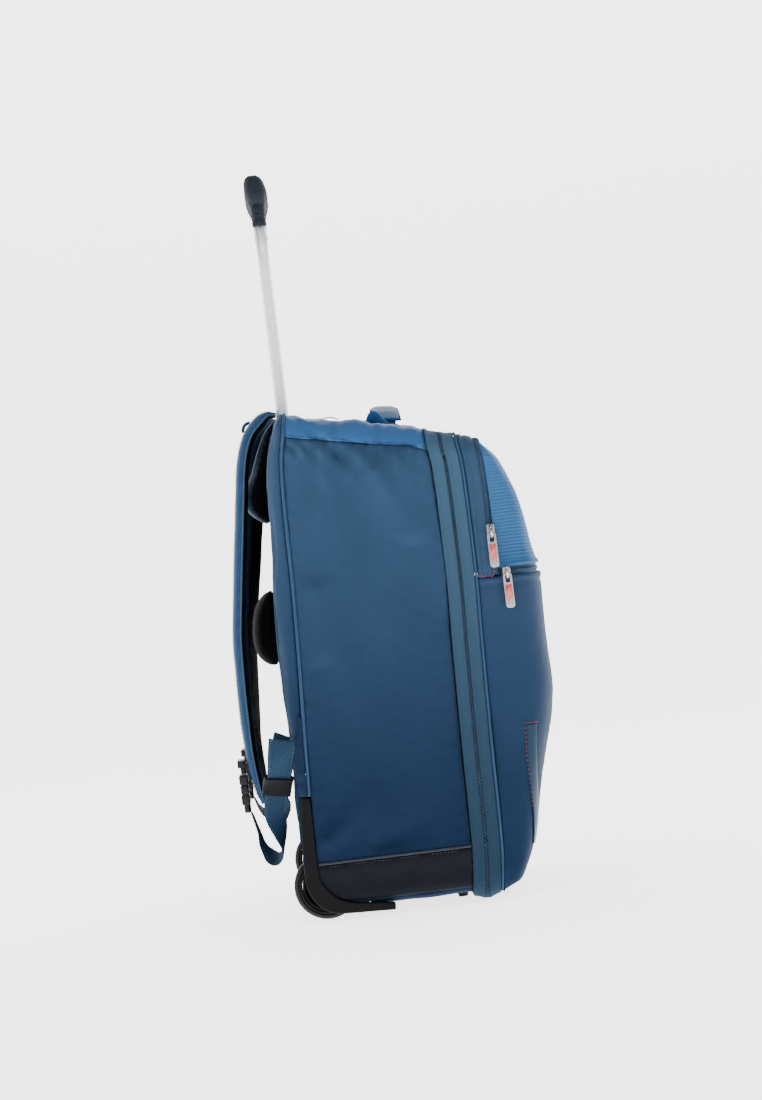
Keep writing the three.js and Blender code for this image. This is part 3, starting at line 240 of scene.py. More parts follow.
def sampled(rows, key, count):
    """A short table resampled evenly along its rows, on the same smooth curves."""
    steps = {"step": list(range(len(rows[key]))), **rows}
    at = np.linspace(0, len(rows[key]) - 1, count)
    return {column: table(steps, "step", column, at) for column in rows}


def curved(rows, key, count):
    """A short table resampled along its rows, on the rounder curves of a hanging strap."""
    last = len(rows[key]) - 1
    at = np.linspace(0, last, count)
    i = np.minimum(at.astype(int), last - 1)
    t = at - i
    found = {}
    for column, values in rows.items():
        ys = np.array(values, float)
        slope = np.gradient(ys)
        start = (2 * t**3 - 3 * t**2 + 1) * ys[i] + (t**3 - 2 * t**2 + t) * slope[i]
        found[column] = start + (3 * t**2 - 2 * t**3) * ys[i + 1] + (t**3 - t**2) * slope[i + 1]
    return found


# The bag's surfaces, as in the frame
def sway_at(along, z):
    """How far the seams lean forward at a height, between the rear piping and the zip band."""
    up = (z - BASE_LIFT) / BAG_HEIGHT
    pipe = table(SEAMS, "up", "pipe", up)
    band = table(SEAMS, "up", "band", up)
    return SEAM_SWAY * (pipe + np.clip(along / TUB_DEPTH, 0, 1) * (band - pipe))


def top_at(along):
    """Height of the bag's top at a place along its depth."""
    return TOP_LEVEL - TOP_FALL * table(TOP, "along", "fall", along / POCKET_START)


def half_at(z, top, low):
    """Half the bag's width at a height, with its rounded edges."""
    above = np.clip(z - (top - TOP_ROUND), 0, TOP_ROUND)
    below = np.clip(low + BASE_ROUND - z, 0, BASE_ROUND)
    top_loss = TOP_ROUND - np.sqrt(TOP_ROUND**2 - above**2)
    base_loss = BASE_ROUND - np.sqrt(BASE_ROUND**2 - below**2)
    share = np.clip((z - low) / (top - low), 0, 1)
    return HALF_WIDTH - top_loss - base_loss + SIDE_CROWN * np.sin(np.pi * share)


IN_TOP = HALF_WIDTH - TOP_ROUND
IN_BASE = HALF_WIDTH - BASE_ROUND
STATION_LENGTHS = [IN_BASE, 22, SCUFF_TOP - BASE_LIFT - BASE_ROUND, 400, 34.5, IN_TOP]


def stations(start, end, step):
    """Places round half the bag, about step millimetres apart, from 0 under the base to 6 on top."""
    found = []
    for segment, length in enumerate(STATION_LENGTHS):
        low, high = max(start, segment), min(end, segment + 1)
        if low < high:
            count = max(2, round(length * (high - low) / step))
            found.extend(np.linspace(low, high, count, endpoint=False))
    return np.array([*found, end])


def ring_points(along, station, lift=0.0, low=BASE_LIFT):
    """Points of the bag's skin along its depth and round its section; near stations are negative."""
    along, station = np.broadcast_arrays(np.asarray(along, float), np.asarray(station, float))
    side = np.where(station < 0, -1.0, 1.0)
    a = np.abs(station)
    top = top_at(along)
    start, end = low + BASE_ROUND, top - TOP_ROUND
    lower = np.clip(a - 1, 0, 1) * np.pi / 2
    upper = np.clip(a - 4, 0, 1) * np.pi / 2
    wall_z = np.where(a <= 3, start + (a - 2) * (SCUFF_TOP - start), SCUFF_TOP + (a - 3) * (end - SCUFF_TOP))
    wall_y = HALF_WIDTH + lift + SIDE_CROWN * np.sin(np.pi * np.clip((wall_z - start) / (end - start), 0, 1))
    places = [a <= 1, a <= 2, a <= 4, a <= 5]
    y = np.select(places, [
        a * IN_BASE,
        IN_BASE + (BASE_ROUND + lift) * np.sin(lower),
        wall_y,
        IN_TOP + (TOP_ROUND + lift) * np.cos(upper),
    ], (6 - a) * IN_TOP)
    z = np.select(places, [
        low - lift + 0 * a,
        low + BASE_ROUND - (BASE_ROUND + lift) * np.cos(lower),
        wall_z,
        top - TOP_ROUND + (TOP_ROUND + lift) * np.sin(upper),
    ], top + lift)
    return np.stack([along + sway_at(along, z), side * y, z], -1)


def station_at(z, along):
    """Station of a height on the bag's side."""
    return 3 + (z - SCUFF_TOP) / (top_at(along) - TOP_ROUND - SCUFF_TOP)


def pocket_points(rows, start, top, z, turn, shrink=0.0):
    """Points of a pocket's skin: turn runs from the near side at 0 to the far side at 180 degrees."""
    z, turn = np.broadcast_arrays(np.asarray(z, float), np.asarray(turn, float))
    out = table(rows, "up", "out", (z - BASE_LIFT) / BAG_HEIGHT)
    depth = FRONT_PIPING_START + POCKET_DEPTH * out - start - shrink
    half = half_at(z, top, POCKET_LOW) - shrink
    c, s = np.cos(np.radians(turn)), np.maximum(0, np.sin(np.radians(turn)))
    y = -half * np.sign(c) * np.abs(c) ** (2 / CORNER_POWER)
    x = start + sway_at(start, z) + np.maximum(SEAM_GAP, depth) * s ** (2 / CORNER_POWER)
    return np.stack([x, y, z], -1)


def back_face_at(z):
    """Place of the padded back at a height."""
    up = (z - BASE_LIFT) / BAG_HEIGHT
    return BACK_FACE + sway_at(0, z) - BACK_PADDING * table(BACK, "up", "pad", up)


# Smooth noise over one or two lengths, the same each run
def waves(*lengths, size, seed, count=14):
    """Sum of random sine waves about size millimetres long, from -1 to 1."""
    random = np.random.default_rng(seed)
    total = 0.0
    for _ in range(count):
        phase = random.uniform(0, 2 * np.pi)
        heading = random.normal(size=len(lengths))
        heading *= 2 * np.pi / (size * random.uniform(0.6, 1.6)) / np.linalg.norm(heading)
        total = total + np.sin(sum(h * np.asarray(length) for h, length in zip(heading, lengths)) + phase)
    return total / count**0.5


def bump(value, centre, width):
    """A smooth hill, 1 at its centre."""
    return np.exp(-(((value - centre) / width) ** 2))


# Mesh building
def finish_piece(piece, body, slot, *nodes, material=None):
    """Gives a piece its material, body and the nodes that it replaces; slot is not used."""
    if material is not None:
        piece.data.materials.append(material)
    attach(piece, body)
    if nodes:
        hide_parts(*nodes)
    return piece


def mesh_piece(name, points, faces, uvs=None):
    mesh = bpy.data.meshes.new(name)
    mesh.from_pydata([tuple(p) for p in np.asarray(points, float)], [], [tuple(f) for f in faces])
    mesh.polygons.foreach_set("use_smooth", [True] * len(mesh.polygons))
    if uvs is not None:
        layer = mesh.uv_layers.new(name="UVMap")
        loops = np.empty(len(mesh.loops), int)
        mesh.loops.foreach_get("vertex_index", loops)
        layer.data.foreach_set("uv", np.asarray(uvs, float)[loops].ravel())
    mesh.update()
    piece = bpy.data.objects.new(name, mesh)
    bpy.context.collection.objects.link(piece)
    return piece


def grid_faces(rows, columns, around=False):
    """Four-cornered faces of a grid, closed across its columns where it goes around."""
    i, j = grid(np.arange(rows - 1), np.arange(columns if around else columns - 1))
    k = (j + 1) % columns
    quads = np.stack([i * columns + j, (i + 1) * columns + j, (i + 1) * columns + k, i * columns + k], -1)
    return quads.reshape(-1, 4)


def grid_uvs(points):
    """Lengths along and across a grid, in metres."""
    across = np.zeros(points.shape[:2])
    along = np.zeros(points.shape[:2])
    across[:, 1:] = np.cumsum(np.linalg.norm(np.diff(points, axis=1), axis=-1), axis=1)
    along[1:] = np.cumsum(np.linalg.norm(np.diff(points, axis=0), axis=-1), axis=0)
    return np.stack([across, along], -1).reshape(-1, 2) * MM


def sheet_piece(name, points, thickness=CLOTH, around=False, keep=None):
    """A cloth skin over a grid of points, rows by columns, turned to face away from the bag's inside."""
    rows, columns = points.shape[:2]
    faces = grid_faces(rows, columns, around)
    corners = points.reshape(-1, 3)[faces]
    if keep is not None:
        faces = faces[keep(corners.mean(1))]
        corners = points.reshape(-1, 3)[faces]
    normals = np.cross(corners[:, 2] - corners[:, 0], corners[:, 3] - corners[:, 1])
    if np.sum(normals * (corners.mean(1) - SHEET_HEART)) < 0:
        faces = faces[:, ::-1]
    piece = mesh_piece(name, placed(points).reshape(-1, 3), faces, grid_uvs(points))
    if thickness:
        skin = piece.modifiers.new("Thickness", "SOLIDIFY")
        skin.thickness = thickness * MM
        skin.offset = -1
        skin.use_even_offset = False
    return piece


def loft_piece(name, rings):
    """A solid through closed rings, rows by ring points."""
    rows, columns = rings.shape[:2]
    faces = grid_faces(rows, columns, around=True).tolist()
    faces.append(list(range(columns)))
    faces.append(list(range((rows - 1) * columns, rows * columns))[::-1])
    closed = np.concatenate([rings, rings[:, :1]], axis=1)
    uvs = grid_uvs(closed).reshape(rows, columns + 1, 2)[:, :-1].reshape(-1, 2)
    piece = mesh_piece(name, placed(rings).reshape(-1, 3), faces, uvs)
    turn_out(piece)
    return piece


def turn_out(piece):
    """Turns all faces outwards."""
    mesh = bmesh.new()
    mesh.from_mesh(piece.data)
    bmesh.ops.recalc_face_normals(mesh, faces=mesh.faces)
    mesh.to_mesh(piece.data)
    mesh.free()


def soften(piece, width, segments=2, angle=35):
    """Rounds the sharp edges."""
    edges = piece.modifiers.new("Edges", "BEVEL")
    edges.width = width * MM
    edges.segments = segments
    edges.limit_method = "ANGLE"
    edges.angle_limit = math.radians(angle)
    edges.harden_normals = False


def moulded(name, pieces, material, body, slot, node):
    """One finished piece of a single material from several parts."""
    depsgraph = bpy.context.evaluated_depsgraph_get()
    whole = bmesh.new()
    for piece in pieces:
        part = bmesh.new()
        part.from_object(piece, depsgraph)
        holder = bpy.data.meshes.new("holder")
        part.to_mesh(holder)
        whole.from_mesh(holder)
        part.free()
        bpy.data.meshes.remove(holder)
    mesh = bpy.data.meshes.new(name)
    whole.to_mesh(mesh)
    whole.free()
    for piece in pieces:
        bpy.data.objects.remove(piece)
    result = bpy.data.objects.new(name, mesh)
    bpy.context.collection.objects.link(result)
    return finish_piece(result, body, slot, node, material=material)


def grid(rows, columns):
    """Two grids: the row value and the column value at each crossing."""
    return np.meshgrid(rows, columns, indexing="ij")


def unit(vectors):
    """Rows of vectors, each made one long."""
    return vectors / np.linalg.norm(vectors, axis=-1, keepdims=True)


def path_lengths(path):
    """Length of a path up to each of its points."""
    return np.concatenate([[0], np.cumsum(np.linalg.norm(np.diff(path, axis=0), axis=1))])


def full_turn(count):
    """Even turns all round, in radians."""
    return np.linspace(0, 2 * np.pi, count, endpoint=False)


def alternating(count):
    """A column of 1 and -1 by turns."""
    return np.where(np.arange(count) % 2 == 0, 1, -1)[:, None]


def frames_along(path, across):
    """Direction, width direction and face direction at each point of a path."""
    direction = unit(np.gradient(path, axis=0))
    side = unit(across - direction * np.sum(across * direction, axis=1, keepdims=True))
    return direction, side, np.cross(direction, side)


def even_path(path, step):
    """A path resampled evenly, on smooth curves through its points."""
    lengths = path_lengths(path)
    at = np.linspace(0, lengths[-1], max(2, round(lengths[-1] / step) + 1))
    rows = {"s": lengths, "x": path[:, 0], "y": path[:, 1], "z": path[:, 2]}
    return np.stack([table(rows, "s", axis, at) for axis in "xyz"], -1)


def tube_rings(path, radius, sides=8):
    """Round sections of a cord along a path."""
    across = np.tile([0.31, 0.87, 0.38], (len(path), 1))
    _, side, face = frames_along(path, across)
    turns = full_turn(sides)
    offsets = side[:, None] * np.cos(turns)[None, :, None] + face[:, None] * np.sin(turns)[None, :, None]
    return path[:, None] + offsets * radius


def bits(name, centres, directions, normals, length, width, height, sides=6):
    """Many small rounded bars, such as stitches or zip teeth, in one piece."""
    turns = full_turn(sides)
    steps = np.array([[-0.5, 0.45], [-0.36, 0.9], [0.36, 0.9], [0.5, 0.45]])
    directions = unit(directions)
    across = unit(np.cross(directions, normals))
    up = np.cross(across, directions)
    rings = []
    for step, size in steps:
        ring = centres[:, None] + directions[:, None] * (step * length)
        ring = ring + across[:, None] * (np.cos(turns) * size * width / 2)[None, :, None]
        ring = ring + up[:, None] * (np.sin(turns) * size * height / 2)[None, :, None]
        rings.append(ring)
    points = np.stack(rings, 1)
    count = len(steps) * sides
    one = grid_faces(len(steps), sides, around=True).tolist()
    one += [list(range(sides))[::-1], list(range(count - sides, count))]
    faces = [[i + k * count for i in face] for k in range(len(centres)) for face in one]
    piece = mesh_piece(name, placed(points).reshape(-1, 3), faces)
    turn_out(piece)
    return piece


def along_surface(surface, start, end, spacing):
    """Evenly spaced places on a surface between two of its coordinates, with directions and normals."""
    start, span = np.array(start), np.array(end) - np.array(start)
    shares = np.linspace(0, 1, 400)
    where = start + shares[:, None] * span
    path = surface(where[:, 0], where[:, 1])
    lengths = path_lengths(path)
    count = max(2, int(lengths[-1] / spacing))
    at = (np.arange(count) + 0.5) * lengths[-1] / count
    share = np.interp(at, lengths, shares)
    where = start + share[:, None] * span
    centres = surface(where[:, 0], where[:, 1])
    small = 1e-3
    ahead = surface(*(where + small * span).T) - centres
    sideways = np.array([-span[1], span[0]])
    beside = surface(*(where + small * sideways).T) - centres
    return centres, ahead, unit(np.cross(ahead, beside))


STITCH_LENGTH = 2.6
STITCH_GAP = 1.3
STITCH_WIDTH = 0.7


def stitches(name, start, end, lift):
    """A row of stitches on the bag's skin, lifted clear of its relief."""
    centres, ahead, normals = along_surface(ring_points, start, end, STITCH_LENGTH + STITCH_GAP)
    outward = centres - BAG_HEART
    normals = normals * np.sign(np.sum(normals * outward, axis=1, keepdims=True))
    centres = centres + normals * lift
    return bits(name, centres, ahead, normals, STITCH_LENGTH, STITCH_WIDTH, STITCH_WIDTH)


# How the back pads are blown up: pressure, greatest move and point spacing in millimetres, and frames
PAD_PRESSURE = 3.0
PAD_CAP = 2.2
PAD_VOXEL = 3.5
PAD_FRAMES = 20


def cloth_padded(piece):
    """Blows a closed piece up a little as a stuffed cloth cover, keeping each point within a cap."""
    remesh = piece.modifiers.new("Remesh", "REMESH")
    remesh.mode = "VOXEL"
    remesh.voxel_size = PAD_VOXEL * MM
    depsgraph = bpy.context.evaluated_depsgraph_get()
    start = bpy.data.meshes.new_from_object(piece.evaluated_get(depsgraph))
    piece.modifiers.clear()
    materials = list(piece.data.materials)
    piece.data = start
    piece.data.materials.clear()
    for material in materials:
        piece.data.materials.append(material)
    before = np.empty(len(start.vertices) * 3)
    start.vertices.foreach_get("co", before)
    cloth = piece.modifiers.new("Cloth", "CLOTH")
    cloth.settings.use_pressure = True
    cloth.settings.uniform_pressure_force = PAD_PRESSURE
    cloth.settings.effector_weights.gravity = 0
    cloth.settings.quality = 5
    cloth.settings.tension_stiffness = 25
    cloth.settings.compression_stiffness = 10
    cloth.settings.bending_stiffness = 0.3
    cloth.settings.mass = 0.3
    cloth.settings.shrink_min = -0.02
    cloth.point_cache.frame_start = 1
    cloth.point_cache.frame_end = PAD_FRAMES
    scene = bpy.context.scene
    for step in range(1, PAD_FRAMES + 1):
        scene.frame_set(step)
    depsgraph = bpy.context.evaluated_depsgraph_get()
    blown = bpy.data.meshes.new_from_object(piece.evaluated_get(depsgraph))
    after = np.empty(len(blown.vertices) * 3)
    blown.vertices.foreach_get("co", after)
    move = (after - before).reshape(-1, 3)
    size = np.linalg.norm(move, axis=1, keepdims=True)
    move *= np.minimum(1, PAD_CAP * MM / np.maximum(size, 1e-9))
    piece.modifiers.clear()
    piece.data = blown
    blown.vertices.foreach_set("co", before + move.ravel())
    blown.polygons.foreach_set("use_smooth", [True] * len(blown.polygons))
    blown.update()
    scene.frame_set(1)


# Materials
def linear(red, green, blue):
    """A colour given as seen on a screen, from 0 to 255, as shader values."""
    values = [c / 255 for c in (red, green, blue)]
    return (*[v / 12.92 if v <= 0.04045 else ((v + 0.055) / 1.055) ** 2.4 for v in values], 1.0)


class Shader:
    """A node material under construction, with small helpers for its links."""

    def __init__(self, name, roughness, metallic=0.0):
        self.material = bpy.data.materials.new(name)
        self.material.use_nodes = True
        self.nodes = self.material.node_tree.nodes
        self.links = self.material.node_tree.links
        self.shader = self.nodes["Principled BSDF"]
        self.shader.inputs["Roughness"].default_value = roughness
        self.shader.inputs["Metallic"].default_value = metallic
        self.coordinates = self.nodes.new("ShaderNodeTexCoord")

    def link(self, output, target):
        self.links.new(output, target)

    def value(self, source, socket):
        """Feeds a socket with a number or with another node's output."""
        if isinstance(source, (int, float)):
            socket.default_value = source
        else:
            self.link(source, socket)

    def maths(self, operation, first, second):
        node = self.nodes.new("ShaderNodeMath")
        node.operation = operation
        self.value(first, node.inputs[0])
        self.value(second, node.inputs[1])
        return node.outputs[0]

    def place(self, kind="UV", turn=(0, 0, 0), size=(1, 1, 1)):
        node = self.nodes.new("ShaderNodeMapping")
        node.inputs["Rotation"].default_value = [math.radians(a) for a in turn]
        node.inputs["Scale"].default_value = size
        self.link(self.coordinates.outputs[kind], node.inputs["Vector"])
        return node.outputs[0]

    def noise(self, place, size, detail=3.0, roughness=0.55):
        """Soft noise with features about size millimetres across."""
        node = self.nodes.new("ShaderNodeTexNoise")
        node.inputs["Scale"].default_value = 1 / (size * MM)
        node.inputs["Detail"].default_value = detail
        node.inputs["Roughness"].default_value = roughness
        self.link(place, node.inputs["Vector"])
        return node.outputs["Fac"]

    def stripes(self, place, pitch, axis):
        """Even stripes across one axis, pitch millimetres apart, from 0 to 1."""
        node = self.nodes.new("ShaderNodeTexWave")
        node.wave_type = "BANDS"
        node.bands_direction = axis
        node.wave_profile = "SIN"
        node.inputs["Scale"].default_value = math.pi / 10 / (pitch * MM)
        node.inputs["Distortion"].default_value = 0.0
        node.inputs["Detail"].default_value = 0.0
        self.link(place, node.inputs["Vector"])
        return node.outputs["Fac"]

    def holes(self, place, pitch):
        node = self.nodes.new("ShaderNodeTexVoronoi")
        node.inputs["Scale"].default_value = 1 / (pitch * MM)
        node.inputs["Randomness"].default_value = 0.35
        self.link(place, node.inputs["Vector"])
        return node.outputs["Distance"]

    def ramp(self, source, *stops):
        node = self.nodes.new("ShaderNodeValToRGB")
        elements = node.color_ramp.elements
        elements[0].position, elements[0].color = stops[0]
        elements[1].position, elements[1].color = stops[-1]
        for position, colour in stops[1:-1]:
            elements.new(position).color = colour
        self.link(source, node.inputs[0])
        return node.outputs[0]

    def mix(self, factor, first, second, blend="MIX"):
        node = self.nodes.new("ShaderNodeMix")
        node.data_type = "RGBA"
        node.blend_type = blend
        self.value(factor, node.inputs[0])
        for source, socket in ((first, node.inputs[6]), (second, node.inputs[7])):
            if isinstance(source, tuple):
                socket.default_value = source
            else:
                self.link(source, socket)
        return node.outputs[2]

    def bump(self, height, distance):
        """Relief from a height of 0 to 1, distance millimetres deep."""
        node = self.nodes.new("ShaderNodeBump")
        node.inputs["Distance"].default_value = distance * MM
        node.inputs["Strength"].default_value = 1.0
        self.link(height, node.inputs["Height"])
        self.link(node.outputs[0], self.shader.inputs["Normal"])

    def colour(self, source):
        if isinstance(source, tuple):
            self.shader.inputs["Base Color"].default_value = source
        else:
            self.link(source, self.shader.inputs["Base Color"])

    def height_share(self, low, high):
        """0 at one height of the object and 1 at another, in millimetres above the floor."""
        split = self.nodes.new("ShaderNodeSeparateXYZ")
        self.link(self.coordinates.outputs["Object"], split.inputs[0])
        node = self.nodes.new("ShaderNodeMapRange")
        node.interpolation_type = "SMOOTHSTEP"
        node.inputs["From Min"].default_value = low * MM
        node.inputs["From Max"].default_value = high * MM
        self.link(split.outputs["Z"], node.inputs["Value"])
        return node.outputs[0]


def shade(colour, factor):
    """A colour made lighter or darker."""
    return tuple(min(1.0, c * factor) for c in colour[:3]) + (1.0,)


MOTTLE = 0.07
# Lightening of the threads' crests in the cloth's colour
THREAD_CREST_GAIN = 1.12
# Heights in millimetres over which the cloth's painted shade towards the foot fades out
PAINTED_SHADE_LOW = 20
PAINTED_SHADE_HIGH = 500


def cloth_material(name, colour, weave=0.8, relief=0.12, roughness=0.62, sheen=0.25, place="UV",
                   turn=0, low=None):
    """Woven cloth: crossed threads darkened in their hollows as painted shade and lightened on their crests,
    a soft mottle, and painted shade towards the foot if a low colour is given.
    """
    m = Shader(name, roughness)
    m.shader.inputs["Sheen Weight"].default_value = sheen
    m.shader.inputs["Sheen Roughness"].default_value = 0.45
    m.shader.inputs["Sheen Tint"].default_value = (0.72, 0.82, 0.95, 1.0)
    m.shader.inputs["Specular IOR Level"].default_value = 0.08
    threads = m.place(place, turn=(0, 0, turn))
    warp = m.stripes(threads, weave, "X")
    weft = m.stripes(threads, weave, "Y")
    weave_height = m.maths("MAXIMUM", m.maths("MULTIPLY", warp, 0.9), weft)
    body = m.place("Object")
    slub = m.noise(body, 2.2, detail=2.0)
    height = m.maths("ADD", m.maths("MULTIPLY", weave_height, 0.65), m.maths("MULTIPLY", slub, 0.35))
    m.bump(height, relief)
    broad = m.noise(body, 60, detail=3.0)
    tint = colour
    # Painted shade: the low colour darkens the cloth towards its foot
    if low is not None:
        tint = m.mix(m.height_share(PAINTED_SHADE_LOW, PAINTED_SHADE_HIGH), low, colour)
    dark = m.mix(1.0, tint, (1 - MOTTLE, 1 - MOTTLE, 1 - MOTTLE * 0.8, 1), "MULTIPLY")
    light = m.mix(1.0, tint, (1 + MOTTLE, 1 + MOTTLE, 1 + MOTTLE, 1), "MULTIPLY")
    base = m.mix(broad, dark, light)
    # Painted shade: threads darkened in the weave's hollows, and lightened on their crests
    crest = (THREAD_CREST_GAIN - 0.04, THREAD_CREST_GAIN - 0.04, THREAD_CREST_GAIN, 1)
    weave_shade_and_crests = m.ramp(weave_height, (0.15, (0.84, 0.84, 0.86, 1)), (0.9, crest))
    m.colour(m.mix(1.0, base, weave_shade_and_crests, "MULTIPLY"))
    return m.material


MESH_PITCH = 2.4
RIB_PITCH = 2.2


def mesh_material(name, colour):
    """Black spacer mesh: small round holes in a knitted face, the holes darkened as painted shade."""
    m = Shader(name, 0.85)
    m.shader.inputs["Sheen Weight"].default_value = 0.0
    m.shader.inputs["Specular IOR Level"].default_value = 0.05
    place = m.place("Object")
    distance = m.holes(place, MESH_PITCH)
    rim = m.ramp(distance, (0.18, (0, 0, 0, 1)), (0.42, (1, 1, 1, 1)))
    m.bump(rim, 0.5)
    # Painted shade: the holes are darkened, the knitted face between them lighter
    m.colour(m.mix(rim, shade(colour, 0.35), shade(colour, 1.25)))
    return m.material


def webbing_material(name, colour):
    """Woven webbing: slanted ribs, darkened in their grooves as painted shade and lighter on their crests,
    and plain edges.
    """
    m = Shader(name, 0.6)
    m.shader.inputs["Sheen Weight"].default_value = 0.0
    m.shader.inputs["Specular IOR Level"].default_value = 0.12
    place = m.place("UV", turn=(0, 0, 38))
    rib = m.stripes(place, RIB_PITCH, "X")
    thread = m.stripes(m.place("UV"), 0.7, "Y")
    height = m.maths("ADD", m.maths("MULTIPLY", rib, 0.75), m.maths("MULTIPLY", thread, 0.25))
    m.bump(height, 0.35)
    # Painted shade: the ribs' grooves darkened, their crests lighter
    m.colour(m.ramp(height, (0.1, shade(colour, 0.62)), (0.55, colour), (0.95, shade(colour, 1.3))))
    return m.material


def plastic_material(name, colour, roughness=0.42, grain=0.6, relief=0.04, specular=0.25):
    """Moulded plastic: fine grain, uneven gloss and lighter rubbed places."""
    m = Shader(name, roughness)
    m.shader.inputs["Specular IOR Level"].default_value = specular
    place = m.place("Object")
    fine = m.noise(place, grain, detail=4.0, roughness=0.7)
    broad = m.noise(place, 18, detail=5.0)
    m.bump(fine, relief)
    m.colour(m.ramp(broad, (0.3, shade(colour, 0.8)), (0.7, shade(colour, 1.25))))
    gloss = m.nodes.new("ShaderNodeMapRange")
    gloss.inputs["To Min"].default_value = roughness - 0.07
    gloss.inputs["To Max"].default_value = roughness + 0.1
    m.link(broad, gloss.inputs["Value"])
    m.link(gloss.outputs[0], m.shader.inputs["Roughness"])
    return m.material


def metal_material(name, colour, roughness=0.22, relief=0.01, metallic=1.0):
    """Drawn or plated metal with faint upright lines."""
    m = Shader(name, roughness, metallic=metallic)
    lines = m.noise(m.place("Object", size=(1, 1, 0.02)), 1.4, detail=2.0)
    m.bump(lines, relief)
    m.colour(m.ramp(lines, (0.25, shade(colour, 0.86)), (0.75, shade(colour, 1.05))))
    return m.material


def stripes_material(name):
    """Painted pull tab: slanted orange and grey stripes between bare ends."""
    m = Shader(name, 0.35)
    m.shader.inputs["Coat Weight"].default_value = 0.3
    body = m.place("Object", turn=(0, 28, 0))
    slant = m.stripes(body, 5.0, "Z")
    orange, grey = linear(214, 66, 56), linear(120, 116, 116)
    m.colour(m.ramp(slant, (0.0, orange), (0.8, orange), (0.84, grey), (1.0, grey)))
    return m.material


SILVER = linear(184, 182, 180)
BODY_BLUE = linear(41, 64, 88)
# Painted shade towards the foot of the side cloth
BODY_BLUE_PAINTED_SHADE = linear(9, 29, 53)
TOP_BLUE = linear(45, 84, 127)
POCKET_BLUE = linear(44, 63, 88)
# Painted shade towards the foot of the pocket cloth
POCKET_BLUE_PAINTED_SHADE = linear(15, 37, 60)
RIB_BLUE = linear(51, 92, 134)
TAPE_BLUE = linear(54, 79, 99)
# Painted shade towards the foot of the zip tape
TAPE_BLUE_PAINTED_SHADE = linear(30, 50, 67)
# Painted shade towards the foot of the ribbed cloth
RIB_BLUE_PAINTED_SHADE = linear(25, 58, 91)
STRAP_BLUE = linear(38, 64, 93)
WEBBING_BLUE = linear(26, 50, 73)
BLACK = linear(15, 16, 19)
SCUFF_BLACK = linear(12, 14, 22)
PINK = linear(176, 66, 100)

CLOTH_SIDE = cloth_material("side cloth", BODY_BLUE, low=BODY_BLUE_PAINTED_SHADE, sheen=0.0)
CLOTH_TOP = cloth_material("top cloth", TOP_BLUE, roughness=0.42, sheen=0.0, relief=0.08)
CLOTH_POCKET = cloth_material("pocket cloth", POCKET_BLUE, low=POCKET_BLUE_PAINTED_SHADE, sheen=0.0)
CLOTH_RIB = cloth_material("ribbed cloth", RIB_BLUE, low=RIB_BLUE_PAINTED_SHADE, roughness=0.55, sheen=0.0, weave=1.1)
CLOTH_LID = cloth_material("lid cloth", linear(42, 65, 87), sheen=0.1)
CLOTH_TAPE = cloth_material("zip tape", TAPE_BLUE, low=TAPE_BLUE_PAINTED_SHADE, weave=0.9, relief=0.2, turn=45,
                            sheen=0.0)
CLOTH_STRAP = cloth_material("strap cloth", STRAP_BLUE, place="Object", sheen=0.0, weave=1.0)
CLOTH_EDGE = cloth_material("edge binding", linear(40, 62, 84), place="Object", sheen=0.0, weave=1.2)
CLOTH_SCUFF = cloth_material("coated cloth", SCUFF_BLACK, roughness=0.5, sheen=0.08, weave=1.4, relief=0.16)
CLOTH_KEEPER = cloth_material("keeper cloth", BLACK, place="Object", sheen=0.15, weave=1.6, relief=0.3)
CLOTH_STRIP = cloth_material("reflective cloth", linear(29, 49, 66), roughness=0.4, sheen=0.1)
CLOTH_GREY_EDGE = cloth_material("grey piping", linear(44, 47, 56), place="Object", weave=1.0, roughness=0.45)
CLOTH_PIPING = cloth_material("piping cloth", linear(43, 69, 95), place="Object", sheen=0.0)
# Painted shade: tape under the coil darkened, a dark sheet in the gap between the zip tapes
GAP_CLOTH_PAINTED_SHADE = cloth_material("tape under the coil", linear(18, 30, 44), weave=0.9, relief=0.2)
CLOTH_DARK_TAPE = cloth_material("dark zip tape", linear(40, 62, 82), weave=0.9, relief=0.2, turn=45)
CLOTH_TOP_PLAIN = cloth_material("handle cloth", linear(25, 72, 117), place="Object", roughness=0.45,
                                 sheen=0.0)
THREAD_BLUE = cloth_material("blue thread", linear(18, 34, 54), place="Object", weave=0.5, relief=0.1)
THREAD_GREY = cloth_material("grey thread", linear(53, 55, 62), place="Object", weave=0.5, relief=0.1)
THREAD_PINK = cloth_material("pink thread", PINK, place="Object", weave=0.5, relief=0.1)
THREAD_PALE = cloth_material("pale thread", linear(56, 82, 105), place="Object", weave=0.5, relief=0.1)
CLOTH_WING = cloth_material("wing cloth", linear(17, 34, 56), sheen=0.0)
# Painted shade: blue pad cloth darkened to dark navy, standing for the pad's blue cloth in shade
PAD_CLOTH_PAINTED_SHADE = cloth_material("pad cloth", linear(14, 30, 48), place="Object", sheen=0.0)
MESH = mesh_material("spacer mesh", linear(13, 14, 17))
WEBBING = webbing_material("webbing", WEBBING_BLUE)
COIL_NYLON = plastic_material("zip coil nylon", linear(42, 65, 86), roughness=0.4)
HOUSING = plastic_material("housing plastic", linear(7, 8, 10), roughness=0.6, relief=0.06, specular=0.12)
BUCKLE_PLASTIC = plastic_material("buckle plastic", linear(15, 16, 20), roughness=0.42)
GRIP_PLASTIC = plastic_material("grip plastic", linear(34, 38, 44), roughness=0.7, specular=0.06)
RUBBER = plastic_material("tyre rubber", linear(4, 5, 6), roughness=0.6, grain=0.9, relief=0.1)
ALUMINIUM = metal_material("tube aluminium", linear(246, 248, 250), roughness=0.34, relief=0.003,
                           metallic=0.35)
NICKEL = metal_material("pull metal", SILVER, roughness=0.2)
TAB_PAINT = stripes_material("pull stripes")


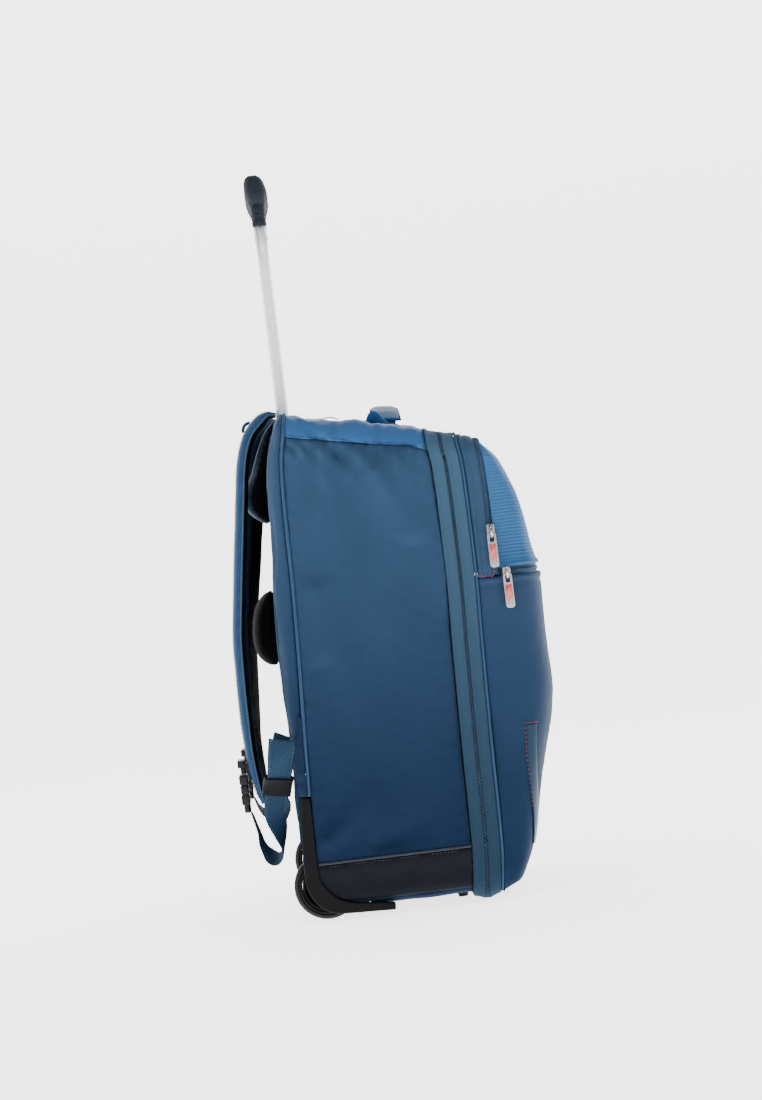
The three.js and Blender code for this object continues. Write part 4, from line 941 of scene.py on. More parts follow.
# Bag panels
# Folds of the near side, mirrored from front to rear on the far side: where each starts, its heading
# in degrees below +X, its length, width and height
SIDE_FOLDS = {
    "x": [39, 33, 76, 116, 58, 96, 24, 128, 8, 60, 20, 6, 20, 52],
    "z": [482, 470, 470, 458, 462, 440, 330, 360, 80, 70, 250, 486, 480, 478],
    "heading": [62, 95, 60, 70, 78, 66, 84, 96, -38, -20, 88, 44, 58, 52],
    "length": [60, 70, 95, 60, 120, 170, 190, 180, 80, 90, 150, 60, 70, 80],
    "width": [11, 12, 16, 12, 20, 26, 30, 27, 16, 18, 26, 6, 7, 7],
    "height": [11.0, -8.0, 9.0, 6.5, -7.0, 6.5, 4.0, -4.2, 6.0, -4.6, -3.6, -7.0, 9.0, -7.0],
}


def folds(rows, x, z, mirror=False):
    """Soft ridges that start sharp and run out along their headings."""
    total = 0.0
    for i in range(len(rows["x"])):
        heading = math.radians(rows["heading"][i])
        start_x = TUB_DEPTH - rows["x"][i] if mirror else rows["x"][i]
        along_x, along_z = math.cos(heading) * (-1 if mirror else 1), -math.sin(heading)
        along = (x - start_x) * along_x + (z - rows["z"][i]) * along_z
        across = (x - start_x) * along_z - (z - rows["z"][i]) * along_x
        share = np.clip(along / rows["length"][i], -0.1, 1.2)
        width = rows["width"][i] * (0.5 + 0.9 * np.clip(share, 0, 1))
        run = np.where(along < 0, bump(along, 0, 10), (1 - np.clip(share, 0, 1)) ** 1.3)
        total = total + rows["height"][i] * run * np.exp(-((across / width) ** 2))
    return total


def edge_fade(value, low, high, width):
    """0 at both edges of a panel and 1 further in."""
    near = np.clip((value - low) / width, 0, 1)
    far = np.clip((high - value) / width, 0, 1)
    return np.sin(np.pi / 2 * near) * np.sin(np.pi / 2 * far)


def seam_puckers(value, distance, pitch, height, reach, seed):
    """Small gathers beside a seam: value runs along it, distance away from it."""
    uneven = waves(value, size=pitch * 3, seed=seed, count=6)
    return height * np.sin(2 * np.pi * value / pitch + 1.5 * uneven) * np.exp(-distance / reach)


def side_bulge(station):
    """How far the stuffed side stands proud of the frame, fullest near its top."""
    share = np.clip(station - 3, 0, 1)
    return 6.5 * np.sin(np.pi * share**1.5) ** 0.8


def side_skin(side):
    """A side panel with its stuffed bulge, folds, puckers and seam grooves."""
    low, high = 3.0, 4.0
    station = stations(low, high, 2.4)
    along = np.linspace(0.3, TUB_DEPTH, 66)
    a, s = grid(along, station)
    base = ring_points(a, side * s)
    x, z = base[..., 0], base[..., 2]
    top_gap = (high - s) * 400
    lift = side_bulge(s) * edge_fade(a, 0, TUB_DEPTH, 45)
    lift = lift + folds(SIDE_FOLDS, x, z, mirror=side > 0) * edge_fade(s, low, high, 0.04)
    lift = lift + 0.8 * waves(x * 1.6, z * 0.5, size=70, seed=11 + side) * edge_fade(s, low, high, 0.15)
    lift = lift + 0.14 * waves(x, z, size=14, seed=21 + side, count=24)
    lift = lift + seam_puckers(x, top_gap, 13, 1.1, 14, 31)
    lift = lift + seam_puckers(z, TUB_DEPTH - a, 17, 0.4, 8, 32) + seam_puckers(z, a, 21, 0.4, 8, 33)
    lift = lift - 1.1 * np.exp(-((top_gap / 2.2) ** 2)) - 0.9 * np.exp(-((TUB_DEPTH - a) / 2.0) ** 2)
    return base + np.array([0, side, 0]) * lift[..., None]


def in_outline(points, outline):
    """Which points of the X and Z plane lie inside a closed outline."""
    x, z = points[:, 0], points[:, 2]
    inside = np.zeros(len(points), bool)
    for (x0, z0), (x1, z1) in zip(outline, np.roll(outline, -1, axis=0)):
        crosses = (z0 > z) != (z1 > z)
        reach = x0 + (z - z0) / (z1 - z0 if z1 != z0 else 1) * (x1 - x0)
        inside ^= crosses & (x < reach)
    return inside


def guard_outline(extra=0.0):
    """Outline of the wheel guard in X and Z, grown by extra."""
    rows = sampled(GUARD, "up", 44)
    centre = np.stack([rows["across"] * GUARD_REACH, rows["up"] * GUARD_TOP], -1)
    direction = unit(np.gradient(centre, axis=0))
    side = np.stack([-direction[:, 1], direction[:, 0]], -1)
    half = (rows["half"] * GUARD_HALF + extra)[:, None]
    return np.concatenate([centre + side * half, (centre - side * half)[::-1]])


def add_sides():
    hidden = guard_outline(-1.5)
    for end, side in ENDS:
        piece = sheet_piece(f"side_cloth_{end}", side_skin(side), keep=lambda c: ~in_outline(c, hidden))
        finish_piece(piece, "bag", "body_cloth", f"side_panel_{end}", material=CLOTH_SIDE)

        station = stations(1.6, 3.0, 2.4)
        a, s = grid(np.linspace(0.3, TUB_DEPTH, 64), station)
        base = ring_points(a, side * s)
        dent = 0.35 * waves(base[..., 0], base[..., 2], size=30, seed=41 + side)
        dent = dent - 0.8 * np.exp(-((3 - s) * 33 / 1.6) ** 2) + 1.4 * bump(s, 2.75, 0.3)
        base = base + np.array([0, side, 0]) * (dent * np.clip(s - 1.9, 0, 1))[..., None]
        piece = sheet_piece(f"scuff_cloth_{end}", base, keep=lambda c: ~in_outline(c, hidden))
        finish_piece(piece, "bag", "scuff_cloth", f"scuff_panel_{end}", material=CLOTH_SCUFF)

        path = ring_points(np.linspace(-1, TUB_DEPTH - 0.5, 60), side * 3.0, lift=0.9)
        path = path[~in_outline(path, hidden)]
        piping = loft_piece(f"scuff_piping_{end}", tube_rings(path, 1.25, 10))
        finish_piece(piping, "bag", "scuff_cloth", material=CLOTH_GREY_EDGE)


def add_top():
    across = np.concatenate([-stations(4.0, 6.0, 2.6)[:-1], stations(4.0, 6.0, 2.6)[::-1]])
    along = np.linspace(0.3, TUB_DEPTH, 62)
    a, s = grid(along, across)
    base = ring_points(a, s)
    x, y = base[..., 0], base[..., 1]
    from_seam = (np.abs(s) - 4) * 34
    lift = 1.3 * waves(x * 1.2, y * 0.6, size=48, seed=51) * edge_fade(a, 0, TUB_DEPTH, 20)
    lift = lift + 0.5 * waves(x, y, size=17, seed=52)
    lift = lift + seam_puckers(x, from_seam, 13, 1.0, 12, 31)
    lift = lift - 2.4 * bump(x + 0.9 * from_seam, 44, 5) * np.exp(-from_seam / 30)
    lift = lift + 2.0 * bump(x + 0.9 * from_seam, 58, 8) * np.exp(-from_seam / 30)
    lift = lift - 1.0 * np.exp(-((from_seam / 2.2) ** 2))
    turn = np.clip(np.abs(s) - 4, 0, 1) * np.pi / 2
    normal = np.stack([0 * turn, np.sign(s) * np.cos(turn), np.sin(turn)], -1)
    skin = base + normal * lift[..., None]

    def clear_of_tubes(centres):
        close = np.abs(np.abs(centres[:, 1]) - TUBE_SPREAD) < TUBE_BREADTH / 2 + 1.2
        return ~(close & (centres[:, 0] < TUBE_X + TUBE_DEPTH / 2 + 1.2))

    piece = sheet_piece("top_cloth", skin, keep=clear_of_tubes)
    finish_piece(piece, "bag", "top_cloth", "top_panel", material=CLOTH_TOP)


def add_base():
    across = np.concatenate([-stations(0.0, 1.58, 4)[::-1], stations(0.0, 1.58, 4)[1:]])
    a, s = grid(np.linspace(0.3, TUB_DEPTH, 50), across)
    base = ring_points(a, s)
    sag = 0.5 * waves(base[..., 0], base[..., 1], size=50, seed=61)
    base[..., 2] -= sag * edge_fade(a, 0, TUB_DEPTH, 20)

    def clear_of_wells(centres):
        return ~((centres[:, 0] < WELL_OUTER + 0.6) & (np.abs(centres[:, 1]) > WELL_END - 0.6))

    piece = sheet_piece("base_cloth", base, keep=clear_of_wells)
    finish_piece(piece, "bag", "body_cloth", "base_panel", material=CLOTH_SIDE)


# Zip band all round the bag
def ring_stations(step):
    """Stations all round the bag, from the base up the far side and back down the near one."""
    half = stations(0, 6, step)
    return np.concatenate([half, -half[::-1][1:-1]])


COIL_COVER = 0.4
BAND_CURL = 7.0
# Last station before the top's middle, where both halves of the ring meet
RING_END = 5.999


def band_low(places):
    """Underside of the band: lowest in its middle and curled up at both edges."""
    centre = COIL_START + COIL_WIDTH / 2
    return BAND_LOW + BAND_CURL * ((places - centre) / (LID_START - centre)) ** 2


def ring_band(name, places, lifts, slot, node, material, ripple=0.12, seed=71):
    """A closed band round the bag from places along the depth and how far each stands proud."""
    a, s = grid(places, ring_stations(3.0))
    lift = np.repeat(np.array(lifts)[:, None], a.shape[1], axis=1)
    low = band_low(a)
    base = ring_points(a, s, low=low)
    lift = lift + ripple * waves(base[..., 1], base[..., 2], size=18, seed=seed, count=20)
    points = ring_points(a, s, lift=lift, low=low)
    piece = sheet_piece(name, points, around=True)
    return finish_piece(piece, "bag", slot, node, material=material)


def rolled(start, width, lift):
    """Section of a tape with a rolled edge on both sides."""
    shares = [0.0, 0.0, 0.05, 0.13, 0.22, 0.32, 0.5, 0.68, 0.78, 0.87, 0.95, 1.0, 1.0]
    rises = [-1.6, -0.4, 0.6, 1.0, 0.5, 0.05, 0.0, 0.05, 0.4, 0.8, 0.5, -0.4, -1.6]
    return [start + width * share for share in shares], [lift + 0.9 * rise for rise in rises]


def zip_teeth(name, along, lift, start, end, low=BASE_LIFT, pitch=1.7, size=2.6):
    """Two rows of coil turns that mesh along a line round the bag."""
    def surface(a, s):
        return ring_points(a, s, lift=lift, low=low)

    centres, ahead, normals = along_surface(surface, (along, start), (along, end), pitch)
    normals *= np.sign(np.sum(normals * (centres - BAG_HEART), axis=1, keepdims=True))
    across = np.cross(unit(ahead), normals)
    shift = alternating(len(centres)) * size * 0.22
    piece = bits(name, centres + across * shift, across, normals, size, pitch * 0.8, pitch * 0.8, sides=5)
    return finish_piece(piece, "bag", "zip_coil", material=COIL_NYLON)


def add_band():
    places, lifts = rolled(BAND_START, TAPE_WIDTH + COIL_COVER, BAND_LIFT)
    ring_band("zip_tape_rear_cloth", places, lifts, "tape_cloth", "zip_tape_rear", CLOTH_TAPE, seed=72)
    places, lifts = rolled(FRONT_TAPE_START - COIL_COVER, TAPE_WIDTH + COIL_COVER, BAND_LIFT)
    ring_band("zip_tape_front_cloth", places, lifts, "tape_cloth", "zip_tape_front", CLOTH_TAPE, seed=73)
    middle_line = COIL_START + COIL_WIDTH / 2
    places = [COIL_START - 0.2, middle_line, COIL_START + COIL_WIDTH + 0.2]
    # A dark bed under the coil, painted shade in the gap between the tapes
    ring_band("zip_bed", places, [-0.6, -0.7, -0.6], "zip_coil", "zip_coil", GAP_CLOTH_PAINTED_SHADE, ripple=0.0)
    zip_teeth("zip_teeth", middle_line, BAND_LIFT * 0.85, -RING_END, RING_END, low=BAND_LOW)
    turns = np.linspace(-80, 260, 14)
    radius = PIPING_WIDTH / 2
    places = [FRONT_PIPING_START + radius + radius * math.cos(math.radians(t)) for t in turns[::-1]]
    lifts = [PIPING_LIFT - radius + radius * math.sin(math.radians(t)) for t in turns[::-1]]
    ring_band("piping_front_cord", places, lifts, "body_cloth", "piping_front", CLOTH_PIPING, ripple=0.05)
    for end, side in ENDS:
        reach = 5 + (IN_TOP - TUBE_SPREAD - TUBE_BREADTH) / IN_TOP
        s = stations(float(station_at(GUARD_TOP + 1, 0)), reach, 3)
        path = ring_points(-PIPING_WIDTH / 2, side * s, lift=0.7)
        cord = loft_piece(f"piping_rear_cord_{end}", tube_rings(path, 1.75, 12))
        finish_piece(cord, "bag", "body_cloth", f"piping_rear_{end}", material=CLOTH_PIPING)


# Pockets
def even_turns(depth, count):
    """Turns from side to side of a pocket that lie evenly along its outline."""
    turns = 90 - 90 * np.cos(np.linspace(0, np.pi, 4001))
    c, s = np.cos(np.radians(turns)), np.sin(np.radians(turns))
    y = -HALF_WIDTH * np.sign(c) * np.abs(c) ** (2 / CORNER_POWER)
    x = depth * np.maximum(s, 0) ** (2 / CORNER_POWER)
    lengths = np.concatenate([[0], np.cumsum(np.hypot(np.diff(x), np.diff(y)))])
    return np.interp(np.linspace(0, lengths[-1], count), lengths, turns)


def outward_of(points):
    """Unit directions away from a grid's surface."""
    rows = np.gradient(points, axis=0)
    columns = np.gradient(points, axis=1)
    normals = np.cross(rows, columns)
    normals /= np.maximum(np.linalg.norm(normals, axis=-1, keepdims=True), 1e-9)
    away = np.sum(normals * (points - POCKET_HEART), axis=-1)
    return normals * np.sign(np.sum(away))


def pocket_skin(rows, start, top, levels, columns, depth):
    """A pocket's skin as a grid, and the height of each of its points."""
    z, turn = grid(levels, even_turns(depth, columns))
    return pocket_points(rows, start, top, z, turn), z


def capped_top(points):
    """Rows that close a pocket's top over to the band behind it."""
    rise, steps = 1.2, 6
    last = points[-1]
    rows = []
    for i in range(1, steps + 1):
        share = i / steps
        row = last.copy()
        row[:, 0] = POCKET_START + (last[:, 0] - POCKET_START) * (1 - share)
        row[:, 0] += sway_at(POCKET_START, last[:, 2]) * share
        row[:, 2] = last[:, 2] + rise * math.sin(math.pi / 2 * share)
        rows.append(row)
    return np.concatenate([points, np.array(rows)])


def add_upper_pocket():
    top = float(top_at(POCKET_START))
    levels = np.arange(MOUTH_LEVEL + MOUTH_HEIGHT + 0.4, top - 0.6, 0.85)
    points, z = pocket_skin(UPPER_POCKET, POCKET_START, top, levels, 150, 60)
    out = outward_of(points)
    share = (z - levels[0]) / (levels[-1] - levels[0])
    rib = 0.32 * np.sin(2 * np.pi * (z + 0.6 * waves(points[..., 1], z, size=90, seed=81)) / 3.3)
    lift = rib * edge_fade(share, 0, 1, 0.03) + 0.7 * waves(points[..., 1], z, size=75, seed=82)
    lift = lift * edge_fade(share, -0.01, 1.01, 0.06) + 1.6 * bump(z, levels[0] + 2.2, 2.4)
    points = capped_top(points + out * lift[..., None])
    piece = sheet_piece("upper_pocket_cloth", points)
    finish_piece(piece, "bag", "ribbed_cloth", "upper_pocket", material=CLOTH_RIB)


def lower_dents(points, z):
    """Soft dents of the lower pocket, deeper towards its foot."""
    y = points[..., 1]
    foot = np.clip((MOUTH_LEVEL - z) / 300, 0, 1)
    lift = 1.5 * waves(y * 0.7, z * 0.6, size=90, seed=91) * (0.4 + foot)
    side = np.clip((np.abs(y) - 120) / 50, 0, 1)
    lift = lift + side * (1.6 * bump(z, 250, 46) - 1.4 * bump(z, 165, 40) + 1.2 * bump(z, 90, 34))
    return lift + 0.12 * waves(y, z, size=14, seed=92, count=24)


def add_lower_pocket():
    levels = np.concatenate([
        np.linspace(BASE_LIFT - 2, 20, 10, endpoint=False),
        np.arange(20, MOUTH_LEVEL - 4, 3.0),
        np.linspace(MOUTH_LEVEL - 4, MOUTH_LEVEL - 0.4, 5),
    ])
    points, z = pocket_skin(LOWER_POCKET, LID_START, TOP_LEVEL, levels, 160, 70)
    out = outward_of(points)
    share = (z - levels[0]) / (levels[-1] - levels[0])
    lift = lower_dents(points, z) * edge_fade(share, 0, 1, 0.08) + 1.2 * bump(z, MOUTH_LEVEL - 3.2, 2.2)
    lift = lift - 0.9 * bump(z, MOUTH_LEVEL - 8.5, 1.3)
    points = points + out * lift[..., None]
    lip = points[-1].copy()
    lip -= out[-1] * 2.6
    lip[:, 2] -= 0.3
    inner = lip.copy()
    inner[:, 2] -= 9
    foot = points[0].copy()
    foot[:, 0] = np.minimum(foot[:, 0], LID_START + sway_at(LID_START, foot[:, 2]) + 1)
    points = np.concatenate([foot[None], points, lip[None], inner[None]])
    piece = sheet_piece("lower_pocket_cloth", points)
    finish_piece(piece, "bag", "pocket_cloth", "lower_pocket", material=CLOTH_POCKET)


def add_mouth():
    """The lower pocket's zip, set back between the two pockets."""
    levels = np.linspace(MOUTH_LEVEL - 6, MOUTH_LEVEL + MOUTH_HEIGHT + 3, 12)
    z, turn = grid(levels, even_turns(64, 140))
    points = pocket_points(LOWER_POCKET, POCKET_START, TOP_LEVEL, z, turn, shrink=3.6)
    out = outward_of(points)
    centre = MOUTH_LEVEL + MOUTH_HEIGHT / 2
    points = points + out * (0.5 * bump(z, centre, 1.6))[..., None]
    piece = sheet_piece("lower_pocket_tape", points)
    finish_piece(piece, "bag", "tape_cloth", "lower_pocket_zip", material=CLOTH_DARK_TAPE)
    turns = even_turns(64, 290)[2:-2]
    line = pocket_points(LOWER_POCKET, POCKET_START, TOP_LEVEL, centre, turns, shrink=2.9)
    ahead = np.gradient(line, axis=0)
    normals = np.cross(ahead, np.array([0.0, 0.0, 1.0]))
    shift = alternating(len(line)) * np.array([0, 0, 0.5])
    across = np.tile([0.0, 0.0, 1.0], (len(line), 1))
    teeth = bits("lower_zip_teeth", line + shift, across, normals, 2.4, 1.3, 1.3, sides=5)
    finish_piece(teeth, "bag", "zip_coil", material=COIL_NYLON)


def arch_band(name, places, lifts, slot, node, material, lowest, ripple=0.15):
    """A band over the top and down both sides, ending above a lowest level."""
    half = stations(3.0, 6.0, 2.6)
    s = np.concatenate([-half[:-1], half[::-1]])
    a, s = grid(places, s)
    lift = np.repeat(np.array(lifts)[:, None], a.shape[1], axis=1)
    points = ring_points(a, s, lift=lift)
    lift = lift + ripple * waves(points[..., 1], points[..., 2], size=20, seed=84)
    points = ring_points(a, s, lift=lift)
    piece = sheet_piece(name, points, keep=lambda c: c[:, 2] > lowest)
    return finish_piece(piece, "bag", slot, node, material=material)


def add_lid():
    width = LID_BAND_DEPTH
    shares = [0.0, 0.02, 0.1, 0.2, 0.3, 0.38, 0.46, 0.54, 0.7, 0.85, 0.95, 1.0, 1.0]
    rises = [-1.8, 0.0, 0.7, 0.9, 0.4, -0.5, -0.1, 0.35, 0.5, 0.4, 0.2, -0.4, -1.8]
    places = [LID_START + width * share for share in shares]
    arch_band("lid_cloth", places, rises, "pocket_cloth", "lid_band", CLOTH_LID, MOUTH_LEVEL + 0.3)
    start = POCKET_TAPE_START
    width = POCKET_TAPE_WIDTH
    inner = [start + width * share for share in (0.25, 0.5, 0.75)]
    places = [start - 0.3, *inner, start + width + 0.3]
    arch_band("upper_pocket_tape", places, [-1.0, -0.9, -0.8, -0.9, -1.0], "tape_cloth", "upper_pocket_zip",
              CLOTH_LID, MOUTH_LEVEL + 2, ripple=0.0)
    low = float(station_at(MOUTH_LEVEL + MOUTH_HEIGHT + 2, start))
    for end, side in ENDS:
        zip_teeth(f"upper_zip_teeth_{end}", start + width / 2, -0.5, side * low, side * RING_END, pitch=1.6,
                  size=2.0)


def add_strips():
    """Grey strips at the pocket's corners, edged with pink stitches."""
    strip = {
        "up": [0.0, 0.25, 0.5, 0.75, 1.0],
        "from": [40, 30, 21, 15, 12],
        "to": [62, 49, 38, 30, 24],
    }
    bottom, top, pitch = 50, 171, 4.6
    for end, flip in (("near", False), ("far", True)):
        up, share = grid(np.linspace(0, 1, 60), np.linspace(0, 1, 9))
        start = table(strip, "up", "from", up)
        stop = table(strip, "up", "to", up)
        z = bottom + up * (top - bottom)

        def skin(z, turn, lift):
            turn = 180 - turn if flip else turn
            raw = pocket_points(LOWER_POCKET, LID_START, TOP_LEVEL, z, turn, shrink=-0.9)
            ahead = pocket_points(LOWER_POCKET, LID_START, TOP_LEVEL, z, turn + 0.5, shrink=-0.9) - raw
            out = np.stack([-ahead[..., 1], ahead[..., 0], 0 * z], -1)
            out = unit(out)
            away = np.sum(out * np.stack([0 * z + 1, raw[..., 1] * 0.01, 0 * z], -1), -1, keepdims=True)
            out = out * np.sign(away)
            grid_dent = lower_dents(raw, z) * np.clip((z - 8) / 25, 0, 1)
            return raw + out * (lift + grid_dent)[..., None], out

        turn = start + share * (stop - start)
        points, _ = skin(z, turn, 0.35 + 0.25 * np.sin(np.pi * share))
        piece = sheet_piece(f"reflective_cloth_{end}", points, thickness=0.5)
        finish_piece(piece, "bag", "reflective", f"reflective_strip_{end}", material=CLOTH_STRIP)
        count = int((top - bottom) / pitch)
        heights = bottom + (np.arange(count) + 0.5) * pitch
        side_turns = table(strip, "up", "from", (heights - bottom) / (top - bottom)) - 0.9
        top_turns = np.linspace(strip["from"][-1], strip["to"][-1], 6)
        upper = slice(count // 3, None)
        rows = [(heights[upper], side_turns[upper]), (np.full(6, top + 1.2), top_turns)]
        for row, (levels, turns) in enumerate(rows):
            centres, out = skin(levels, turns, np.full(len(turns), 0.5))
            ahead = np.gradient(centres, axis=0)
            dashes = bits(f"strip_stitches_{row}_{end}", centres, ahead, out, 2.0, 0.5, 0.4)
            finish_piece(dashes, "bag", "reflective", material=THREAD_PINK)


def add_pink_bracket():
    """Pink stitches beside the sliders: a short upright line and a line beneath it."""
    corners = np.array([[186.0, 324.5], [202.5, 322.3], [204.0, 332.0]])
    y = -(HALF_WIDTH + 2.4)
    for index, (start, end) in enumerate(zip(corners[:-1], corners[1:])):
        length = np.linalg.norm(end - start)
        count = max(3, int(length / 2.9))
        shares = (np.arange(count) + 0.5) / count
        line = start[None] + shares[:, None] * (end - start)[None]
        centres = np.stack([line[:, 0], np.full(count, y), line[:, 1]], -1)
        ahead = np.tile([end[0] - start[0], 0.0, end[1] - start[1]], (count, 1))
        normals = np.tile([0.0, -1.0, 0.0], (count, 1))
        dashes = bits(f"pink_stitches_{index}", centres, ahead, normals, 1.9, 0.75, 0.75)
        finish_piece(dashes, "bag", "reflective", material=THREAD_PINK)


# Seams sewn on the bag
def add_seams():
    for end, side in ENDS:
        rows = [
            ("top_seam", (1.0, side * 4.055), (TUB_DEPTH - 1.0, side * 4.055), 0.35, THREAD_BLUE),
            ("top_seam_low", (1.0, side * 3.993), (TUB_DEPTH - 1.0, side * 3.993), 0.5, THREAD_BLUE),
            ("band_seam", (TUB_DEPTH - 1.6, side * 2.2), (TUB_DEPTH - 1.6, side * 5.9), 0.2, THREAD_BLUE),
            ("scuff_seam", (12.0, side * 2.9), (TUB_DEPTH - 2.0, side * 2.9), 0.9, THREAD_GREY),
        ]
        for name, start, stop, lift, thread in rows:
            dashes = stitches(f"{name}_{end}", start, stop, lift)
            finish_piece(dashes, "bag", "body_cloth", material=thread)


# Back of the bag
def back_skin(z_values, columns):
    """The padded back before its relief, one row of points a level."""
    z, turn = grid(z_values, even_turns(16, columns))
    half = half_at(z, TOP_LEVEL, BASE_LIFT) - 1.0
    c, s = np.cos(np.radians(turn)), np.maximum(0, np.sin(np.radians(turn)))
    y = -half * np.sign(c) * np.abs(c) ** (2 / CORNER_POWER)
    reach = BACK_PADDING * table(BACK, "up", "pad", (z - BASE_LIFT) / BAG_HEIGHT)
    x = BACK_FACE + sway_at(0, z) - reach * s ** (2 / CORNER_POWER)
    return np.stack([x, y, z], -1)


MESH_EDGE = 146
SEAM_LEVEL = 190
QUILTED_LEVELS = (150, 262, 352, 430)
QUILT_MIDDLE = 84
QUILT_HALF = 58


def back_lift(points):
    """Relief of the back: two padded columns, a channel between them, and soft folds at the sides."""
    y, z = points[..., 1], points[..., 2]
    inside = np.clip((MESH_EDGE - np.abs(y)) / 8, 0, 1)
    column = np.clip(np.abs(np.abs(y) - QUILT_MIDDLE) / QUILT_HALF, 0, 1)
    pad = (4.0 * (1 - column**4) - 4.0) * inside
    pad = pad * (0.35 + 0.65 * np.clip((z - 30) / 40, 0, 1)) * np.clip((TOP_LEVEL - 30 - z) / 30, 0, 1)
    for level in QUILTED_LEVELS:
        pad = pad - 2.6 * bump(z, level, 5) * inside
    fold = 2.4 * bump(np.abs(y), 157, 8) + 1.6 * waves(y * 2.5, z * 0.25, size=26, seed=101)
    fold = (1 - inside) * (fold - 1.2 * bump(z, SEAM_LEVEL, 1.6))
    return pad + fold + 0.12 * waves(y, z, size=12, seed=102)


def add_back():
    rim = TOP_LEVEL - 12
    z = np.concatenate([np.arange(BASE_LIFT + 2, rim, 3.0), np.linspace(rim, TOP_LEVEL - 1, 8)])
    points = back_skin(z, 150)
    out = outward_of(points)
    away = np.sign(np.sum(out[..., 0] * -1))
    points = points + out * away * back_lift(points)[..., None]

    def clear(centres):
        notch = (np.abs(np.abs(centres[:, 1]) - TUBE_SPREAD) < TUBE_BREADTH / 2 + 1.2) & (centres[:, 2] > 488)
        outer = np.abs(centres[:, 1]) > WELL_END - 1
        well = (centres[:, 2] < WHEEL_RADIUS + WELL_OUTER) & outer
        arm = (centres[:, 2] < GUARD_TOP) & outer & in_outline(centres, guard_outline(1))
        return ~(notch & (centres[:, 0] > TUBE_X - TUBE_DEPTH)) & ~well & ~arm

    border = sheet_piece("back_border", points, keep=lambda c: clear(c) & (np.abs(c[:, 1]) >= MESH_EDGE))
    finish_piece(border, "bag", "body_cloth", material=CLOTH_SIDE)
    padding = sheet_piece("back_padding", points, keep=lambda c: clear(c) & (np.abs(c[:, 1]) < MESH_EDGE))
    finish_piece(padding, "bag", "mesh_cloth", "back_panel", material=MESH)
    closing = points[[-1]].repeat(8, axis=0)
    for i, share in enumerate(np.linspace(0, 1, 8)):
        closing[i, :, 0] += share * (sway_at(0, TOP_LEVEL) - closing[i, :, 0] + 0.3)
        closing[i, :, 2] += 1.0 * math.sin(share * math.pi / 2)
    cap = sheet_piece("back_rim", closing, keep=clear)
    finish_piece(cap, "bag", "top_cloth", material=CLOTH_TOP)
    for end, side in ENDS:
        levels = np.arange(GUARD_TOP + 4, TOP_LEVEL - 16, 3.0)
        face = back_skin(levels, 400)
        column = np.argmin(np.abs(face[..., 1] - side * MESH_EDGE), axis=1)
        path = face[np.arange(len(levels)), column] - np.array([1.0, 0, 0])
        binding = loft_piece(f"back_binding_{end}", tube_rings(path, 1.6, 8))
        finish_piece(binding, "bag", "mesh_cloth", material=CLOTH_EDGE)


# Wheels and their housings
WELL_CLEARANCE = 4
CHEEK_Y = GUARD_OUTER - GUARD_THICKNESS
WHEEL_Y = CHEEK_Y - WELL_CLEARANCE - TYRE_WIDTH / 2
INNER_CHEEK = WHEEL_Y - TYRE_WIDTH / 2 - WELL_CLEARANCE
WELL_END = INNER_CHEEK - 4
WELL_RADIUS = WHEEL_RADIUS + WELL_CLEARANCE
WELL_OUTER = WELL_RADIUS + 3
ARM_LEVEL = WHEEL_RADIUS + WELL_RADIUS


def rectangle(x, half, low, high):
    """Corners of an upright rectangle in X and Z."""
    return [[x - half, low], [x + half, low], [x + half, high], [x - half, high]]


def slab_piece(name, outline, from_y, to_y, bevel=0.0, segments=2):
    """A flat closed outline in X and Z, given its thickness along Y."""
    count = len(outline)
    outline = np.asarray(outline, float)
    front = np.stack([outline[:, 0], np.full(count, from_y), outline[:, 1]], -1)
    back = front.copy()
    back[:, 1] = to_y
    faces = [[i, (i + 1) % count, (i + 1) % count + count, i + count] for i in range(count)]
    faces += [list(range(count))[::-1], list(range(count, 2 * count))]
    piece = mesh_piece(name, placed(np.concatenate([front, back])), faces)
    turn_out(piece)
    if bevel:
        soften(piece, bevel, segments)
        piece.modifiers.new("Normals", "WEIGHTED_NORMAL").keep_sharp = True
    return piece


def arc(radius, start, end, count=28):
    """Part of a circle round the wheel's axle, in X and Z."""
    turns = np.radians(np.linspace(start, end, count))
    return np.stack([radius * np.cos(turns), WHEEL_RADIUS + radius * np.sin(turns)], -1)


def turned_piece(name, profile, y, segments=96):
    """A ring turned round the wheel's axle from a closed profile of radius and place across."""
    turns = full_turn(segments)
    profile = np.asarray(profile, float)
    rings = np.stack([
        profile[None, :, 0] * np.cos(turns)[:, None],
        y + np.repeat(profile[None, :, 1], segments, axis=0),
        WHEEL_RADIUS + profile[None, :, 0] * np.sin(turns)[:, None],
    ], -1)
    faces = grid_faces(segments + 1, len(profile), around=True) % (segments * len(profile))
    piece = mesh_piece(name, placed(rings).reshape(-1, 3), faces.tolist())
    turn_out(piece)
    return piece


def rounded(profile, radius, count=4):
    """A closed profile with its corners rounded."""
    profile = np.asarray(profile, float)
    result = []
    for before, here, after in zip(np.roll(profile, 1, 0), profile, np.roll(profile, -1, 0)):
        into, onward = before - here, after - here
        reach = min(radius, np.linalg.norm(into) * 0.45, np.linalg.norm(onward) * 0.45)
        start = here + into / np.linalg.norm(into) * reach
        end = here + onward / np.linalg.norm(onward) * reach
        for t in np.linspace(0, 1, count):
            result.append((1 - t) ** 2 * start + 2 * t * (1 - t) * here + t**2 * end)
    return np.array(result)


